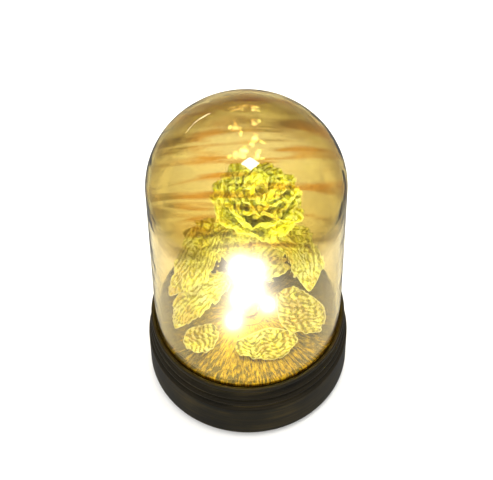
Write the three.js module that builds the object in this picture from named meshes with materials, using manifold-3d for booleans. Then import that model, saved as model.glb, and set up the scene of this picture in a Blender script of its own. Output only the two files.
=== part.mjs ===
// Cordless table light: a foil rose, wound with a string of tiny LEDs, under a lift-off glass
// bell jar on a turned and stained wooden base. The base holds three AAA cells and a slide switch.
// Millimetres, +Z up. The origin is on the table, under the middle of the base; the front is -Y.

import * as THREE from "three";
import { mergeVertices } from "three/addons/utils/BufferGeometryUtils.js";
import Module from "manifold-3d";

const kernel = await Module();
kernel.setup();

// Clearances that every piece shares
const restGap = 0.3; // between a piece and what it is seated on
const slipGap = 0.2; // round a pin or barrel in its bore
const overrun = 1; // how far a cutting tool passes a face
const weldDistance = 0.001;

const jar = { outerRadius: 50.75, wall: 2, straightHeight: 110, crownHeight: 45, rimRound: 0.6 };
const seat = { depth: 3, clearance: 0.4 };

const base = {
  stand: 1.5, // the wooden ring's underside above the table
  lipWidth: 1.85,
  lipHeight: 3,
  lipRound: 0.8,
  coveHeight: 4,
  coveDepth: 0.9,
  beadHeight: 3.6,
  upperBeadStandOut: 0.4,
  lowerBeadStandOut: 1.1,
  grooveHeight: 1.4,
  grooveDepth: 0.7,
  bodyHeight: 26.5,
  bodyStandOut: 2,
  shoulderRound: 1.6,
  footRound: 3,
  roof: 6,
  wall: 10, // from the lip's face in to the cavity
  shelfWidth: 5,
};

const deck = { thickness: 1.6, proud: 0.2 };
const socket = { flangeRadius: 6, flangeHeight: 1.2, barrelWall: 2.2, barrelBelowRoof: 2.5 };
const stem = {
  radius: 1.6,
  straightTop: 64,
  bendHeight: 9,
  neckLength: 6,
  tiltDegrees: 11,
  turnDegrees: -15,
};

const bloom = {
  foil: 0.5,
  hubRadius: 3.9,
  hubThickness: 0.8,
  rootRadius: 3.2,
  pinRadius: 1.2,
  pinAboveStack: 6,
  spiral: 0.85, // how far a petal's leading edge stands outside its trailing edge, each way
  hipRadius: 5,
  hipHeight: 11,
  neckRadius: 3,
  sepals: 5,
  sepalLength: 15,
  sepalWidth: 7,
  sepalDroop: 5,
};
const scroll = {
  height: 19,
  startRadius: 1.75,
  pitch: 1.1,
  turns: 1.75,
  collarRadius: 3.2,
  collarHeight: 1.6,
};
const scrollShares = { closing: 0.15, shortening: 0.12 };
// Shares of a petal's full width at its root, what it gains above it and what it loses at its tip
const petalWidthShares = { root: 0.45, gain: 0.55, gainRate: 0.8, tipLoss: 0.22, tipStart: 0.65 };
const petalOverlapShare = 1.24; // of an even division of the circle
const petalFlareStartShare = 0.68;
const layerTurnShare = 0.37; // of one petal's division, from layer to layer
const unevenHeightShare = 0.04;
const sepalWidthShares = { root: 0.12, foldDown: 0.12, fullAt: 0.25 };
const petals = { heartRadius: 6.9, layerStep: 3, height: 23, flare: 2.6, droop: 5 };
// Each layer from the heart outwards, with its height, flare and droop as shares of those above
const petalLayers = [
  { name: "petals_heart", count: 3, steps: 6, shares: [0.957, 0.15, 0.5] },
  { name: "petals_inner", count: 4, steps: 5, shares: [1, 0.25, 0.7] },
  { name: "petals_middle", count: 5, steps: 5, shares: [0.957, 0.35, 0.9] },
  { name: "petals_outer", count: 5, steps: 5, shares: [0.87, 0.58, 1] },
  { name: "petals_guard", count: 5, steps: 5, shares: [0.717, 1, 1] },
];

const leafSizes = { halfWidth: 13, foil: 0.6, ribRadius: 0.9, collarWall: 1.2, collarHeight: 4, teeth: 5 };
const leafShares = {
  bladeStart: 0.3,
  stalkEnd: 0.35,
  stalkTaper: 0.3,
  root: 0.05,
  tooth: 0.1,
  fold: 0.22,
  crown: 0.1,
};
// Where each leaf leaves the stem, as a share of its straight height, and the places that its rib
// passes: right and back as shares of the jar's inner radius, up as a share of that same height.
const leaves = [
  {
    name: "leaf_left",
    widthShare: 1.3,
    startShare: 0.875,
    ribShares: [[-0.24, 0.12, 0.99], [-0.44, 0.05, 0.86], [-0.64, -0.04, 0.64], [-0.87, -0.13, 0.36]],
  },
  {
    name: "leaf_right",
    widthShare: 1.08,
    startShare: 0.78,
    ribShares: [[0.26, 0.06, 0.93], [0.49, 0.06, 0.87], [0.64, -0.02, 0.68], [0.68, -0.18, 0.46]],
  },
  {
    name: "leaf_low",
    widthShare: 0.95,
    startShare: 0.42,
    ribShares: [[-0.245, -0.08, 0.515], [-0.47, -0.185, 0.485], [-0.68, -0.285, 0.33], [-0.8, -0.37, 0.14]],
  },
  {
    name: "leaf_back",
    widthShare: 1.8,
    startShare: 0.14,
    ribShares: [[0.02, 0.22, 0.2], [0.06, 0.4, 0.34], [0.07, 0.58, 0.54], [0.02, 0.74, 0.82]],
  },
];

// Petals that have dropped on the deck. The size of each is given as shares of these, and its place
// right and back as shares of the jar's inner radius.
const fallen = { length: 34, width: 26, cup: 5, lip: 1.5 };
const fallenPetals = [
  {
    name: "fallen_petal_left",
    sizeShares: [0.59, 0.69, 0.6, 0.8],
    placeShares: [-0.51, -0.41],
    turnDegrees: 215,
  },
  { name: "fallen_petal_right", sizeShares: [0.97, 1, 1, 1], placeShares: [0.585, -0.08], turnDegrees: -58 },
  {
    name: "fallen_petal_front",
    sizeShares: [1, 0.77, 0.7, 0.93],
    placeShares: [0.2, -0.5],
    turnDegrees: 12,
  },
];
const fallenShares = {
  cupAlong: 0.55,
  cupAcross: 0.45,
  tipRound: 0.75,
  shortening: 0.12,
  lipStart: 0.6,
  leastWidth: 0.1,
};

const string = {
  wireRadius: 0.5,
  beadRadius: 1.4,
  beadLength: 3,
  holeRadius: 1.3,
  holeBack: 9, // the wire's hole behind the stem
  bendRadius: 3,
  floorLoopRadius: 11.5,
  coilRadius: 5,
  coilStart: 7, // above the deck
  coilPitch: 7.5,
  coilTurns: 4.75,
};

// Places along a bead and its radius there, as shares of its length and radius
const beadShares = [[-0.5, 0.4], [-0.3, 0.85], [0, 1], [0.3, 0.85], [0.5, 0.4]];

const cell = { radius: 5.25, length: 43.7, edge: 0.4, nubRadius: 1.9, nubLength: 0.8, pitch: 11.2, count: 3 };
const tray = { wall: 1.4, cellClearance: 0.4, springRoom: 5, back: 3, ribHeight: 3, ribThickness: 0.8 };
const contact = {
  thickness: 0.4,
  width: 8,
  height: 8,
  tabWidth: 3,
  tabHeight: 3,
  dimpleRadius: 2,
  dimpleHeight: 0.4,
};
const spring = { wireRadius: 0.35, wideRadius: 3.4, narrowRadius: 1.8, turns: 4 };
const plate = { thickness: 3, recess: 1.5, clearance: 0.3 };
const door = { thickness: 2.2, gap: 0.4, pinRadius: 0.6, pinLength: 1.2, catchWidth: 8 };
const doorGrip = { count: 3, width: 1, spacing: 2.4, depth: 0.4, length: 14, fromEnd: 4 };
const slide = {
  front: 28, // the switch in front of the stem
  bodyLength: 12.7,
  bodyWidth: 6.5,
  bodyHeight: 5,
  earLength: 4,
  earThickness: 0.8,
  knobLength: 3,
  knobWidth: 2.6,
  knobProud: 1.7,
  carrierHeight: 1.4,
  travel: 2.5,
  pinWidth: 0.8,
  pinHeight: 3,
  pinPitch: 4,
  screwHoleRadius: 1.1,
};
const screw = {
  headRadius: 2.5,
  headHeight: 1.4,
  shankRadius: 1,
  length: 9,
  count: 4,
  driveRadius: 1.1,
  driveDepth: 0.8,
};
const earScrew = { headRadius: 1.6, headHeight: 0.9, shankRadius: 0.8, length: 2.6 };
const foot = { radius: 5, edgeMargin: 1.7, round: 0.5, count: 4 };
const board = { length: 22, width: 17, thickness: 1.2, back: 6.5 };
const resistor = { radius: 1.2, length: 6, legRadius: 0.35, legSpan: 10, waistShare: 0.85 };
const lead = { radius: 0.7, rise: 4 };

const roundSegments = 36;
const smallSegments = 14;
const boreSegments = 12;
const wireSides = 6;

// What follows from the driving sizes
const jarInner = jar.outerRadius - jar.wall;
const seatOuter = jar.outerRadius + seat.clearance;
const seatInner = jarInner - seat.clearance;
const lipRadius = seatOuter + base.lipWidth;
const bodyRadius = lipRadius + base.bodyStandOut;
const bodyTop = base.stand + base.bodyHeight;
const lowerBeadZ = bodyTop + base.grooveHeight;
const upperBeadZ = lowerBeadZ + base.beadHeight + base.grooveHeight;
const coveZ = upperBeadZ + base.beadHeight;
const lipZ = coveZ + base.coveHeight;
const ledgeZ = lipZ + base.lipHeight;
const seatZ = ledgeZ - seat.depth;
const deckTop = ledgeZ + deck.proud;
const deckBottom = deckTop - deck.thickness;
const cavityTop = seatZ - base.roof;
const cavityRadius = lipRadius - base.wall;
const shelfRadius = cavityRadius + base.shelfWidth;
const plateBottom = base.stand + plate.recess;
const plateTop = plateBottom + plate.thickness;
const plateRadius = shelfRadius - plate.clearance;
const screwCircle = (cavityRadius + plateRadius) / 2;
const socketBore = stem.radius + slipGap;
const socketBarrel = socketBore + socket.barrelWall;
const springing = ledgeZ + jar.straightHeight;
const coilTop = string.coilStart + string.coilPitch * string.coilTurns;

const bayLength = cell.length + cell.nubLength + tray.springRoom + 2 * contact.thickness;
const bayWidth = cell.pitch * cell.count + 2 * tray.cellClearance;
const cellZ = plateTop + tray.cellClearance + cell.radius;
const bayTop = cellZ + cell.radius + tray.cellClearance;
const trayTop = bayTop + tray.wall;
const boardTop = trayTop + restGap + board.thickness;

const finishes = {
  glass: { color: 0xf3e6c4, roughness: 0.03, metalness: 0, transparent: true, opacity: 0.35 },
  wood: { color: 0x2c2417, roughness: 0.5, metalness: 0 },
  deck: { color: 0x3a2a18, roughness: 0.85, metalness: 0 },
  goldFoil: { color: 0xe0b23c, roughness: 0.32, metalness: 0.9 },
  leafFoil: { color: 0xc79a34, roughness: 0.36, metalness: 0.9 },
  copper: { color: 0xb87333, roughness: 0.3, metalness: 1 },
  plastic: { color: 0x151515, roughness: 0.55, metalness: 0 },
  steel: { color: 0xb9bcc0, roughness: 0.35, metalness: 1 },
  sleeve: { color: 0x2f4f7f, roughness: 0.4, metalness: 0.2 },
  fibreglass: { color: 0x2d6b3c, roughness: 0.6, metalness: 0 },
  rubber: { color: 0x1c1c1c, roughness: 0.9, metalness: 0 },
  redLead: { color: 0xa02020, roughness: 0.6, metalness: 0 },
  blackLead: { color: 0x101010, roughness: 0.6, metalness: 0 },
};
const materials = Object.fromEntries(
  Object.entries(finishes).map(([name, look]) => [name, new THREE.MeshStandardMaterial(look)]),
);

const degrees = (angle) => (angle * Math.PI) / 180;
const smooth = (from, to, value) => THREE.MathUtils.smoothstep(value, from, to);
const flat = (x, y) => new THREE.Vector2(x, y);
const at = (x, y, z) => new THREE.Vector3(x, y, z);

const lamp = new THREE.Group();
const rose = new THREE.Group();
rose.position.z = deckTop;
lamp.add(rose);

function piece(name, geometry, finish, parent = lamp) {
  const mesh = new THREE.Mesh(geometry, materials[finish]);
  mesh.name = name;
  parent.add(mesh);
  return mesh;
}

// A geometry with its shared corners welded and its faces turned outwards.
function closed(geometry) {
  const bare = new THREE.BufferGeometry().setAttribute("position", geometry.getAttribute("position").clone());
  if (geometry.index) bare.setIndex(geometry.index.clone());
  const welded = mergeVertices(bare, weldDistance);
  const faces = [];
  const corner = [at(0, 0, 0), at(0, 0, 0), at(0, 0, 0)];
  let volume = 0;
  for (let i = 0; i < welded.index.count; i += 3) {
    const ids = [0, 1, 2].map((k) => welded.index.getX(i + k));
    if (new Set(ids).size < 3) continue;
    ids.forEach((id, k) => corner[k].fromBufferAttribute(welded.attributes.position, id));
    volume += corner[0].dot(corner[1].clone().cross(corner[2]));
    faces.push(ids);
  }
  welded.setIndex(faces.flatMap(([a, b, c]) => (volume < 0 ? [a, c, b] : [a, b, c])));
  return welded;
}

function solid(geometry) {
  const { attributes, index } = closed(geometry);
  const vertProperties = attributes.position.array;
  const mesh = { numProp: 3, vertProperties, triVerts: new Uint32Array(index.array) };
  return new kernel.Manifold(new kernel.Mesh(mesh));
}

function skin(body) {
  const { numProp, vertProperties, triVerts } = body.getMesh();
  const buffer = new THREE.InterleavedBuffer(vertProperties, numProp);
  const places = new THREE.InterleavedBufferAttribute(buffer, 3, 0);
  const positions = new Float32Array(places.count * 3);
  for (let i = 0; i < places.count; i++) {
    positions.set([places.getX(i), places.getY(i), places.getZ(i)], i * 3);
  }
  const geometry = new THREE.BufferGeometry();
  geometry.setAttribute("position", new THREE.BufferAttribute(positions, 3));
  geometry.setIndex(new THREE.BufferAttribute(new Uint32Array(triVerts), 1));
  geometry.computeVertexNormals();
  return geometry;
}

const join = (...geometries) => skin(geometries.map(solid).reduce((whole, next) => whole.add(next)));
const cut = (geometry, ...tools) =>
  skin(tools.map(solid).reduce((left, tool) => left.subtract(tool), solid(geometry)));

const turned = (profile, segments = roundSegments) =>
  closed(new THREE.LatheGeometry(profile, segments).rotateX(Math.PI / 2));

const rod = (radius, bottom, top, segments = smallSegments) =>
  new THREE.CylinderGeometry(radius, radius, top - bottom, segments)
    .rotateX(Math.PI / 2)
    .translate(0, 0, (bottom + top) / 2);

const block = (left, right, front, back, bottom, top) =>
  new THREE.BoxGeometry(right - left, back - front, top - bottom).translate(
    (left + right) / 2,
    (front + back) / 2,
    (bottom + top) / 2,
  );

// Points on an ellipse's arc about a centre, from one angle to another, in degrees.
function arc(centreX, centreY, radiusX, radiusY, from, to, steps) {
  return Array.from({ length: steps + 1 }, (_, i) => {
    const angle = degrees(from + ((to - from) * i) / steps);
    return flat(centreX + radiusX * Math.cos(angle), centreY + radiusY * Math.sin(angle));
  });
}

// A closed sheet about the surface place(along, across), along from 0 to 1 and across from -1 to 1.
function sheet(place, thickness, alongSteps, acrossSteps) {
  const nudge = 1e-3;
  const columns = acrossSteps + 1;
  const count = (alongSteps + 1) * columns;
  const positions = [];
  for (const side of [1, -1]) {
    for (let i = 0; i <= alongSteps; i++) {
      for (let j = 0; j <= acrossSteps; j++) {
        const along = Math.min(Math.max(i / alongSteps, nudge), 1 - nudge);
        const across = Math.min(Math.max((2 * j) / acrossSteps - 1, nudge - 1), 1 - nudge);
        const forward = place(along + nudge, across).sub(place(along - nudge, across));
        const sideways = place(along, across + nudge).sub(place(along, across - nudge));
        const normal = forward.cross(sideways).normalize();
        positions.push(...place(along, across).addScaledVector(normal, (side * thickness) / 2));
      }
    }
  }
  const faces = [];
  const quad = (a, b, c, d) => faces.push(a, b, c, a, c, d);
  for (let i = 0; i < alongSteps; i++) {
    for (let j = 0; j < acrossSteps; j++) {
      const near = i * columns + j;
      const far = near + columns;
      quad(near, far, far + 1, near + 1);
      quad(count + near, count + near + 1, count + far + 1, count + far);
    }
  }
  for (let j = 0; j < acrossSteps; j++) {
    const end = alongSteps * columns + j;
    quad(j, j + 1, count + j + 1, count + j);
    quad(end + 1, end, count + end, count + end + 1);
  }
  for (let i = 0; i < alongSteps; i++) {
    const left = i * columns;
    const right = left + acrossSteps;
    quad(left + columns, left, count + left, count + left + columns);
    quad(right, right + columns, count + right + columns, count + right);
  }
  const geometry = new THREE.BufferGeometry();
  geometry.setAttribute("position", new THREE.Float32BufferAttribute(positions, 3));
  return closed(geometry.setIndex(faces));
}

// A closed tube about a line of points, with one radius for each point.
function tube(points, radii, sides = wireSides) {
  const positions = [];
  const faces = [];
  let across = null;
  points.forEach((point, i) => {
    const before = points[Math.max(i - 1, 0)];
    const after = points[Math.min(i + 1, points.length - 1)];
    const ahead = after.clone().sub(before).normalize();
    const start = across ?? (Math.abs(ahead.z) < 0.9 ? at(0, 0, 1) : at(1, 0, 0));
    across = start.clone().addScaledVector(ahead, -start.dot(ahead)).normalize();
    const up = ahead.clone().cross(across);
    for (let k = 0; k < sides; k++) {
      const angle = (2 * Math.PI * k) / sides;
      const place = point.clone().addScaledVector(across, radii[i] * Math.cos(angle));
      positions.push(...place.addScaledVector(up, radii[i] * Math.sin(angle)));
    }
  });
  for (let i = 0; i + 1 < points.length; i++) {
    for (let k = 0; k < sides; k++) {
      const a = i * sides + k;
      const b = i * sides + ((k + 1) % sides);
      faces.push(a, b, b + sides, a, b + sides, a + sides);
    }
  }
  const last = (points.length - 1) * sides;
  const middles = [positions.length / 3, positions.length / 3 + 1];
  positions.push(...points[0], ...points.at(-1));
  for (let k = 0; k < sides; k++) {
    const next = (k + 1) % sides;
    faces.push(middles[0], next, k, middles[1], last + k, last + next);
  }
  const geometry = new THREE.BufferGeometry();
  geometry.setAttribute("position", new THREE.Float32BufferAttribute(positions, 3));
  return closed(geometry.setIndex(faces));
}

const even = (points, radius) => points.map(() => radius);

// The bell jar: one blown wall, open below, its rim fire-polished round
function jarGlass() {
  const { outerRadius, wall, crownHeight, rimRound } = jar;
  const innerSteps = 7;
  const outerSteps = 9;
  return turned([
    ...arc(0, springing, jarInner, crownHeight - wall, 90, 0, innerSteps),
    flat(jarInner, seatZ + rimRound),
    flat(jarInner + rimRound, seatZ),
    flat(outerRadius - rimRound, seatZ),
    flat(outerRadius, seatZ + rimRound),
    ...arc(0, springing, outerRadius, crownHeight, 0, 90, outerSteps),
  ]);
}

const screwPlaces = Array.from({ length: screw.count }, (_, i) => {
  const angle = (2 * Math.PI * i) / screw.count;
  return at(screwCircle * Math.cos(angle), screwCircle * Math.sin(angle), 0);
});

// The turned ring: lip, cove, two beads and a plain body, hollow below for the cells
function baseRing() {
  const root = lipRadius - base.grooveDepth;
  const bead = (bottom, standOut) => {
    const half = base.beadHeight / 2;
    return arc(root, bottom + half, base.grooveDepth + standOut, half, -90, 90, 4);
  };
  const { footRound, shoulderRound, lipRound, coveHeight, coveDepth } = base;
  const profile = [
    flat(shelfRadius, base.stand),
    ...arc(bodyRadius - footRound, base.stand + footRound, footRound, footRound, -90, 0, 3),
    ...arc(bodyRadius - shoulderRound, bodyTop - shoulderRound, shoulderRound, shoulderRound, 0, 90, 2),
    flat(root, bodyTop),
    ...bead(lowerBeadZ, base.lowerBeadStandOut),
    ...bead(upperBeadZ, base.upperBeadStandOut),
    ...arc(root, coveZ + coveHeight / 2, -coveDepth, coveHeight / 2, -90, 90, 4).slice(1, -1),
    flat(root, lipZ),
    flat(lipRadius, lipZ),
    ...arc(lipRadius - lipRound, ledgeZ - lipRound, lipRound, lipRound, 0, 90, 2),
    flat(seatOuter, ledgeZ),
    flat(seatOuter, seatZ),
    flat(seatInner, seatZ),
    flat(seatInner, deckBottom),
    flat(socketBarrel + slipGap, deckBottom),
    flat(socketBarrel + slipGap, cavityTop),
    flat(cavityRadius, cavityTop),
    flat(cavityRadius, plateTop),
    flat(shelfRadius, plateTop),
    flat(shelfRadius, base.stand),
  ];
  const pilot = rod(screw.shankRadius + slipGap, plateTop - overrun, plateBottom + screw.length + overrun, 8);
  const wireHole = rod(string.holeRadius, cavityTop - overrun, deckBottom + overrun, boreSegments);
  return cut(
    turned(profile),
    wireHole.translate(0, string.holeBack, 0),
    ...screwPlaces.map((place) => pilot.clone().translate(place.x, place.y, 0)),
  );
}

// A round outline as a polygon of so many sides
function circlePath(radius, x = 0, y = 0, sides = boreSegments) {
  return new THREE.Path(arc(x, y, radius, radius, 0, 360, sides).slice(0, -1));
}

function rectanglePath(left, right, front, back) {
  return new THREE.Path([flat(left, front), flat(left, back), flat(right, back), flat(right, front)]);
}

function pierced(radius, holes, bottom, top) {
  const outline = new THREE.Shape(arc(0, 0, radius, radius, 0, 360, roundSegments).slice(0, -1));
  outline.holes.push(...holes);
  const options = { depth: top - bottom, bevelEnabled: false };
  return closed(new THREE.ExtrudeGeometry(outline, options).translate(0, 0, bottom));
}

// The round floor that is glued inside the jar's groove
function deckDisc() {
  const holes = [circlePath(socketBarrel + slipGap), circlePath(string.holeRadius, 0, string.holeBack)];
  return pierced(seatInner, holes, deckBottom, deckTop);
}

// The flanged bush that grips the stem's foot
function stemSocket() {
  const top = deckTop + restGap + socket.flangeHeight;
  const bottom = cavityTop - socket.barrelBelowRoof;
  const profile = [
    flat(socketBore, bottom),
    flat(socketBarrel, bottom),
    flat(socketBarrel, deckTop + restGap),
    flat(socket.flangeRadius, deckTop + restGap),
    flat(socketBarrel, top),
    flat(socketBore, top),
    flat(socketBore, bottom),
  ];
  return turned(profile, smallSegments);
}

// The stem's own line, in the rose's frame: straight up from the base, then a bend into the neck
const neckTilt = degrees(stem.tiltDegrees);
const neckTurn = degrees(stem.turnDegrees);
const neckAim = at(
  Math.sin(neckTilt) * Math.cos(neckTurn),
  Math.sin(neckTilt) * Math.sin(neckTurn),
  Math.cos(neckTilt),
);
const bendTop = at(neckAim.x, neckAim.y, 0)
  .multiplyScalar(stem.bendHeight / 2)
  .add(at(0, 0, stem.straightTop + stem.bendHeight));
const stemTop = bendTop.clone().addScaledVector(neckAim, stem.neckLength);

function stemLine() {
  const foot = cavityTop - socket.barrelBelowRoof - deckTop;
  const bend = new THREE.QuadraticBezierCurve3(
    at(0, 0, stem.straightTop),
    at(0, 0, stem.straightTop + stem.bendHeight / 2),
    bendTop,
  );
  return [at(0, 0, foot), ...bend.getPoints(6), stemTop];
}

// The bloom's parts are threaded on a pin that stands on the hip, in a frame whose Z is the neck's line.
const layerPitch = bloom.hubThickness + restGap;
const hubZ = (place) => place * layerPitch + layerPitch / 2; // the middle of a hub, counted up from the hip
const stackTop = (petalLayers.length + 1) * layerPitch;

// A flat ring about a bore
function ring(bore, outer, bottom, top) {
  const profile = [
    flat(bore, bottom),
    flat(outer, bottom),
    flat(outer, top),
    flat(bore, top),
    flat(bore, bottom),
  ];
  return turned(profile, boreSegments);
}

function hub(place) {
  const half = bloom.hubThickness / 2;
  return ring(bloom.pinRadius + slipGap, bloom.hubRadius, hubZ(place) - half, hubZ(place) + half);
}

function petalWidthShare(along) {
  const { root, gain, gainRate, tipLoss, tipStart } = petalWidthShares;
  const swell = gain * Math.sin(Math.PI * Math.min(1 / 2, along * gainRate));
  return root + swell - tipLoss * smooth(tipStart, 1, along);
}

function petalLayer({ count, steps, shares }, order) {
  const [heightShare, flareShare, droopShare] = shares;
  const place = petalLayers.length - order;
  const fullRadius = petals.heartRadius + order * petals.layerStep;
  const halfAngle = (Math.PI / count) * petalOverlapShare;
  const petal = (index) => (along, across) => {
    const rise = (along * Math.PI) / 2;
    const turn = (2 * Math.PI * (index + order * layerTurnShare)) / count;
    const angle = turn + halfAngle * petalWidthShare(along) * across;
    const reach = (fullRadius - bloom.rootRadius) * Math.sin(rise);
    const flare = petals.flare * flareShare * smooth(petalFlareStartShare, 1, along);
    const radius = bloom.rootRadius + reach + bloom.spiral * Math.sin(rise) * across + flare;
    const edgeDroop = petals.droop * droopShare * across * across * along * along;
    const uneven = 1 + unevenHeightShare * Math.sin(2 * index + order);
    const height = petals.height * heightShare * (1 - Math.cos(rise)) * uneven - edgeDroop;
    return at(radius * Math.cos(angle), radius * Math.sin(angle), hubZ(place) + height);
  };
  const all = Array.from({ length: count }, (_, index) => sheet(petal(index), bloom.foil, 5, steps));
  return join(hub(place), ...all);
}

// The sepals, which hang back under the petals
function calyx() {
  const { sepals, sepalLength, sepalWidth, sepalDroop, rootRadius } = bloom;
  const { root, foldDown, fullAt } = sepalWidthShares;
  const sepal = (index) => (along, across) => {
    const turn = (2 * Math.PI * (index + 1 / 2)) / sepals;
    const out = rootRadius + sepalLength * along;
    const swell = Math.sin(Math.PI * (fullAt + (1 - fullAt) * along));
    const width = (sepalWidth / 2) * (root + (1 - root) * swell);
    const fall = sepalDroop * along * along + foldDown * sepalWidth * across * across * along;
    return at(out, width * across, hubZ(0) - fall).applyAxisAngle(at(0, 0, 1), turn);
  };
  return join(hub(0), ...Array.from({ length: sepals }, (_, index) => sheet(sepal(index), bloom.foil, 4, 2)));
}

// The rolled strip in the rose's heart, on its own collar
function heartScroll() {
  const { height, startRadius, pitch, turns, collarRadius, collarHeight } = scroll;
  const bottom = stackTop + restGap;
  const foot = bottom + collarHeight / 2;
  const strip = (along, across) => {
    const turn = ((across + 1) / 2) * turns;
    const radius = startRadius + pitch * turn * (1 - scrollShares.closing * along * along);
    const angle = 2 * Math.PI * turn;
    const rise = height * along * (1 - scrollShares.shortening * (turn / turns));
    return at(radius * Math.cos(angle), radius * Math.sin(angle), foot + rise);
  };
  const collar = ring(bloom.pinRadius + slipGap, collarRadius, bottom, bottom + collarHeight);
  return join(collar, sheet(strip, bloom.foil, 3, 20));
}

// The swollen hip under the flower, bored for the neck, with the pin that carries the layers
function hip() {
  const bore = stem.radius + slipGap;
  const bottom = -bloom.hipHeight;
  const profile = [
    flat(bore, bottom),
    flat(bloom.neckRadius, bottom),
    ...arc(bloom.neckRadius, bottom / 2, bloom.hipRadius - bloom.neckRadius, -bottom / 2, -60, 60, 4),
    flat(bloom.neckRadius, -restGap),
    flat(bloom.pinRadius, -restGap),
    flat(bloom.pinRadius, stackTop + bloom.pinAboveStack),
    flat(0, stackTop + bloom.pinAboveStack),
  ];
  const sleeveTop = bottom + stem.neckLength;
  return turned([flat(0, sleeveTop), flat(bore, sleeveTop), ...profile], boreSegments);
}

// How high the wire's coil stands, in the rose's frame, at a place on its winding given in turns
const coilHeight = (turn) => string.coilStart + string.coilPitch * turn;
const coilStartDegrees = 440;

// A height on the stem that is midway between two turns of the coil at this side of the stem
function betweenTurns(side, height) {
  const offset = (degrees(coilStartDegrees) - side) / (2 * Math.PI);
  const turns = Math.round((height - string.coilStart) / string.coilPitch + offset - 0.5) + 0.5 - offset;
  return coilHeight(turns);
}

function leaf({ widthShare, startShare, ribShares }) {
  const { foil, ribRadius, collarWall, collarHeight, teeth } = leafSizes;
  const { bladeStart, stalkEnd, stalkTaper, root, tooth, fold, crown } = leafShares;
  const rib = ribShares.map(([right, back, up]) =>
    at(right * jarInner, back * jarInner, up * stem.straightTop),
  );
  const side = Math.atan2(rib[0].y, rib[0].x);
  const wanted = startShare * stem.straightTop;
  const height = wanted < coilTop + collarHeight ? betweenTurns(side, wanted) : wanted;
  const collarBore = stem.radius + slipGap;
  const collarOuter = collarBore + collarWall;
  const leave = at(Math.cos(side), Math.sin(side), 0);
  const start = leave.clone().multiplyScalar(collarOuter - slipGap).setZ(height);
  const clear = leave
    .clone()
    .multiplyScalar(string.coilRadius + string.beadRadius)
    .setZ(height + ribRadius / 2);
  const line = new THREE.CatmullRomCurve3([start, clear, ...rib], false, "centripetal");
  const blade = (along, across) => {
    const share = bladeStart + (1 - bladeStart) * along;
    const ahead = line.getTangent(share);
    const sideways = ahead.clone().cross(at(0, 0, 1)).normalize();
    const up = sideways.clone().cross(ahead);
    const toothed = 1 - tooth * (1 - Math.abs(((along * teeth) % 1) * 2 - 1));
    const swell = root + (1 - root) * Math.sin(Math.PI * along);
    const width = leafSizes.halfWidth * widthShare * swell * toothed;
    const rise = fold * Math.abs(across) - crown * across * across;
    return line.getPoint(share).addScaledVector(sideways, width * across).addScaledVector(up, width * rise);
  };
  const stalkSteps = 4;
  const stalk = Array.from({ length: stalkSteps + 1 }, (_, i) => line.getPoint((stalkEnd * i) / stalkSteps));
  const stalkRadii = stalk.map((_, i) => ribRadius * (1 - (stalkTaper * i) / stalkSteps));
  const collar = ring(collarBore, collarOuter, height - collarHeight / 2, height + collarHeight / 2);
  return join(collar, tube(stalk, stalkRadii), sheet(blade, foil, 2 * teeth, 4));
}

function fallenPetal({ sizeShares }) {
  const [length, width, cup, lip] = [fallen.length, fallen.width, fallen.cup, fallen.lip].map(
    (size, i) => size * sizeShares[i],
  );
  const { cupAlong, cupAcross, tipRound, shortening, lipStart, leastWidth } = fallenShares;
  const cupped = (along, across) => {
    const reach = 2 * along - 1;
    const rounding = Math.sqrt(Math.max(leastWidth, 1 - tipRound * Math.max(reach, 0) ** 3));
    const half = (width / 2) * petalWidthShare(along) * rounding;
    const curl = lip * smooth(lipStart, 1, Math.abs(across)) * along;
    const height = cup * (cupAlong * reach * reach + cupAcross * across * across) - curl / 2;
    return at((length / 2) * reach * (1 - shortening * across * across), half * across, height);
  };
  return sheet(cupped, bloom.foil, 8, 6).translate(0, 0, restGap + bloom.foil / 2);
}

// The wire's line in the rose's frame: up through its hole, once round the deck, then up the stem
function stringLine() {
  const { holeBack, bendRadius, floorLoopRadius, beadRadius } = string;
  const { coilRadius, coilStart, coilPitch, coilTurns } = string;
  const floorHeight = restGap + beadRadius;
  const foot = boardTop + restGap - deckTop;
  const bendFoot = floorHeight - bendRadius;
  const rise = [at(0, holeBack, foot), at(0, holeBack, (foot + bendFoot) / 2), at(0, holeBack, bendFoot)];
  const bend = [30, 60, 90].map((angle) =>
    at(
      -bendRadius * (1 - Math.cos(degrees(angle))),
      holeBack,
      bendFoot + bendRadius * Math.sin(degrees(angle)),
    ),
  );
  const outEnd = 210;
  const inStart = 360;
  const from = (Math.atan2(holeBack, -bendRadius) * 180) / Math.PI;
  const step = 20;
  const loop = [];
  for (let angle = from + step; angle < coilStartDegrees; angle += step) {
    const out = smooth(from, outEnd, angle);
    const inwards = smooth(inStart, coilStartDegrees, angle);
    const near = Math.hypot(holeBack, bendRadius);
    const radius = near + (floorLoopRadius - near) * out + (coilRadius - floorLoopRadius) * inwards;
    const height = floorHeight + (coilStart - floorHeight) * inwards ** 2;
    loop.push(at(radius * Math.cos(degrees(angle)), radius * Math.sin(degrees(angle)), height));
  }
  const turnSteps = 12;
  const coil = Array.from({ length: Math.round(coilTurns * turnSteps) + 1 }, (_, i) => {
    const turn = i / turnSteps;
    const angle = degrees(coilStartDegrees) + 2 * Math.PI * turn;
    return at(coilRadius * Math.cos(angle), coilRadius * Math.sin(angle), coilStart + coilPitch * turn);
  });
  return [...rise, ...bend, ...loop, ...coil];
}

// The least distance between the wire's surfaces at places more than half a turn apart on its line
function leastGap(points, radius) {
  let least = Infinity;
  let travelled = 0;
  const distance = points.map((point, i) => (travelled += i ? point.distanceTo(points[i - 1]) : 0));
  points.forEach((a, i) => {
    for (let j = i + 1; j < points.length; j++) {
      if (distance[j] - distance[i] > Math.PI * string.coilRadius) {
        least = Math.min(least, a.distanceTo(points[j]));
      }
    }
  });
  return least - 2 * radius;
}

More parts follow.
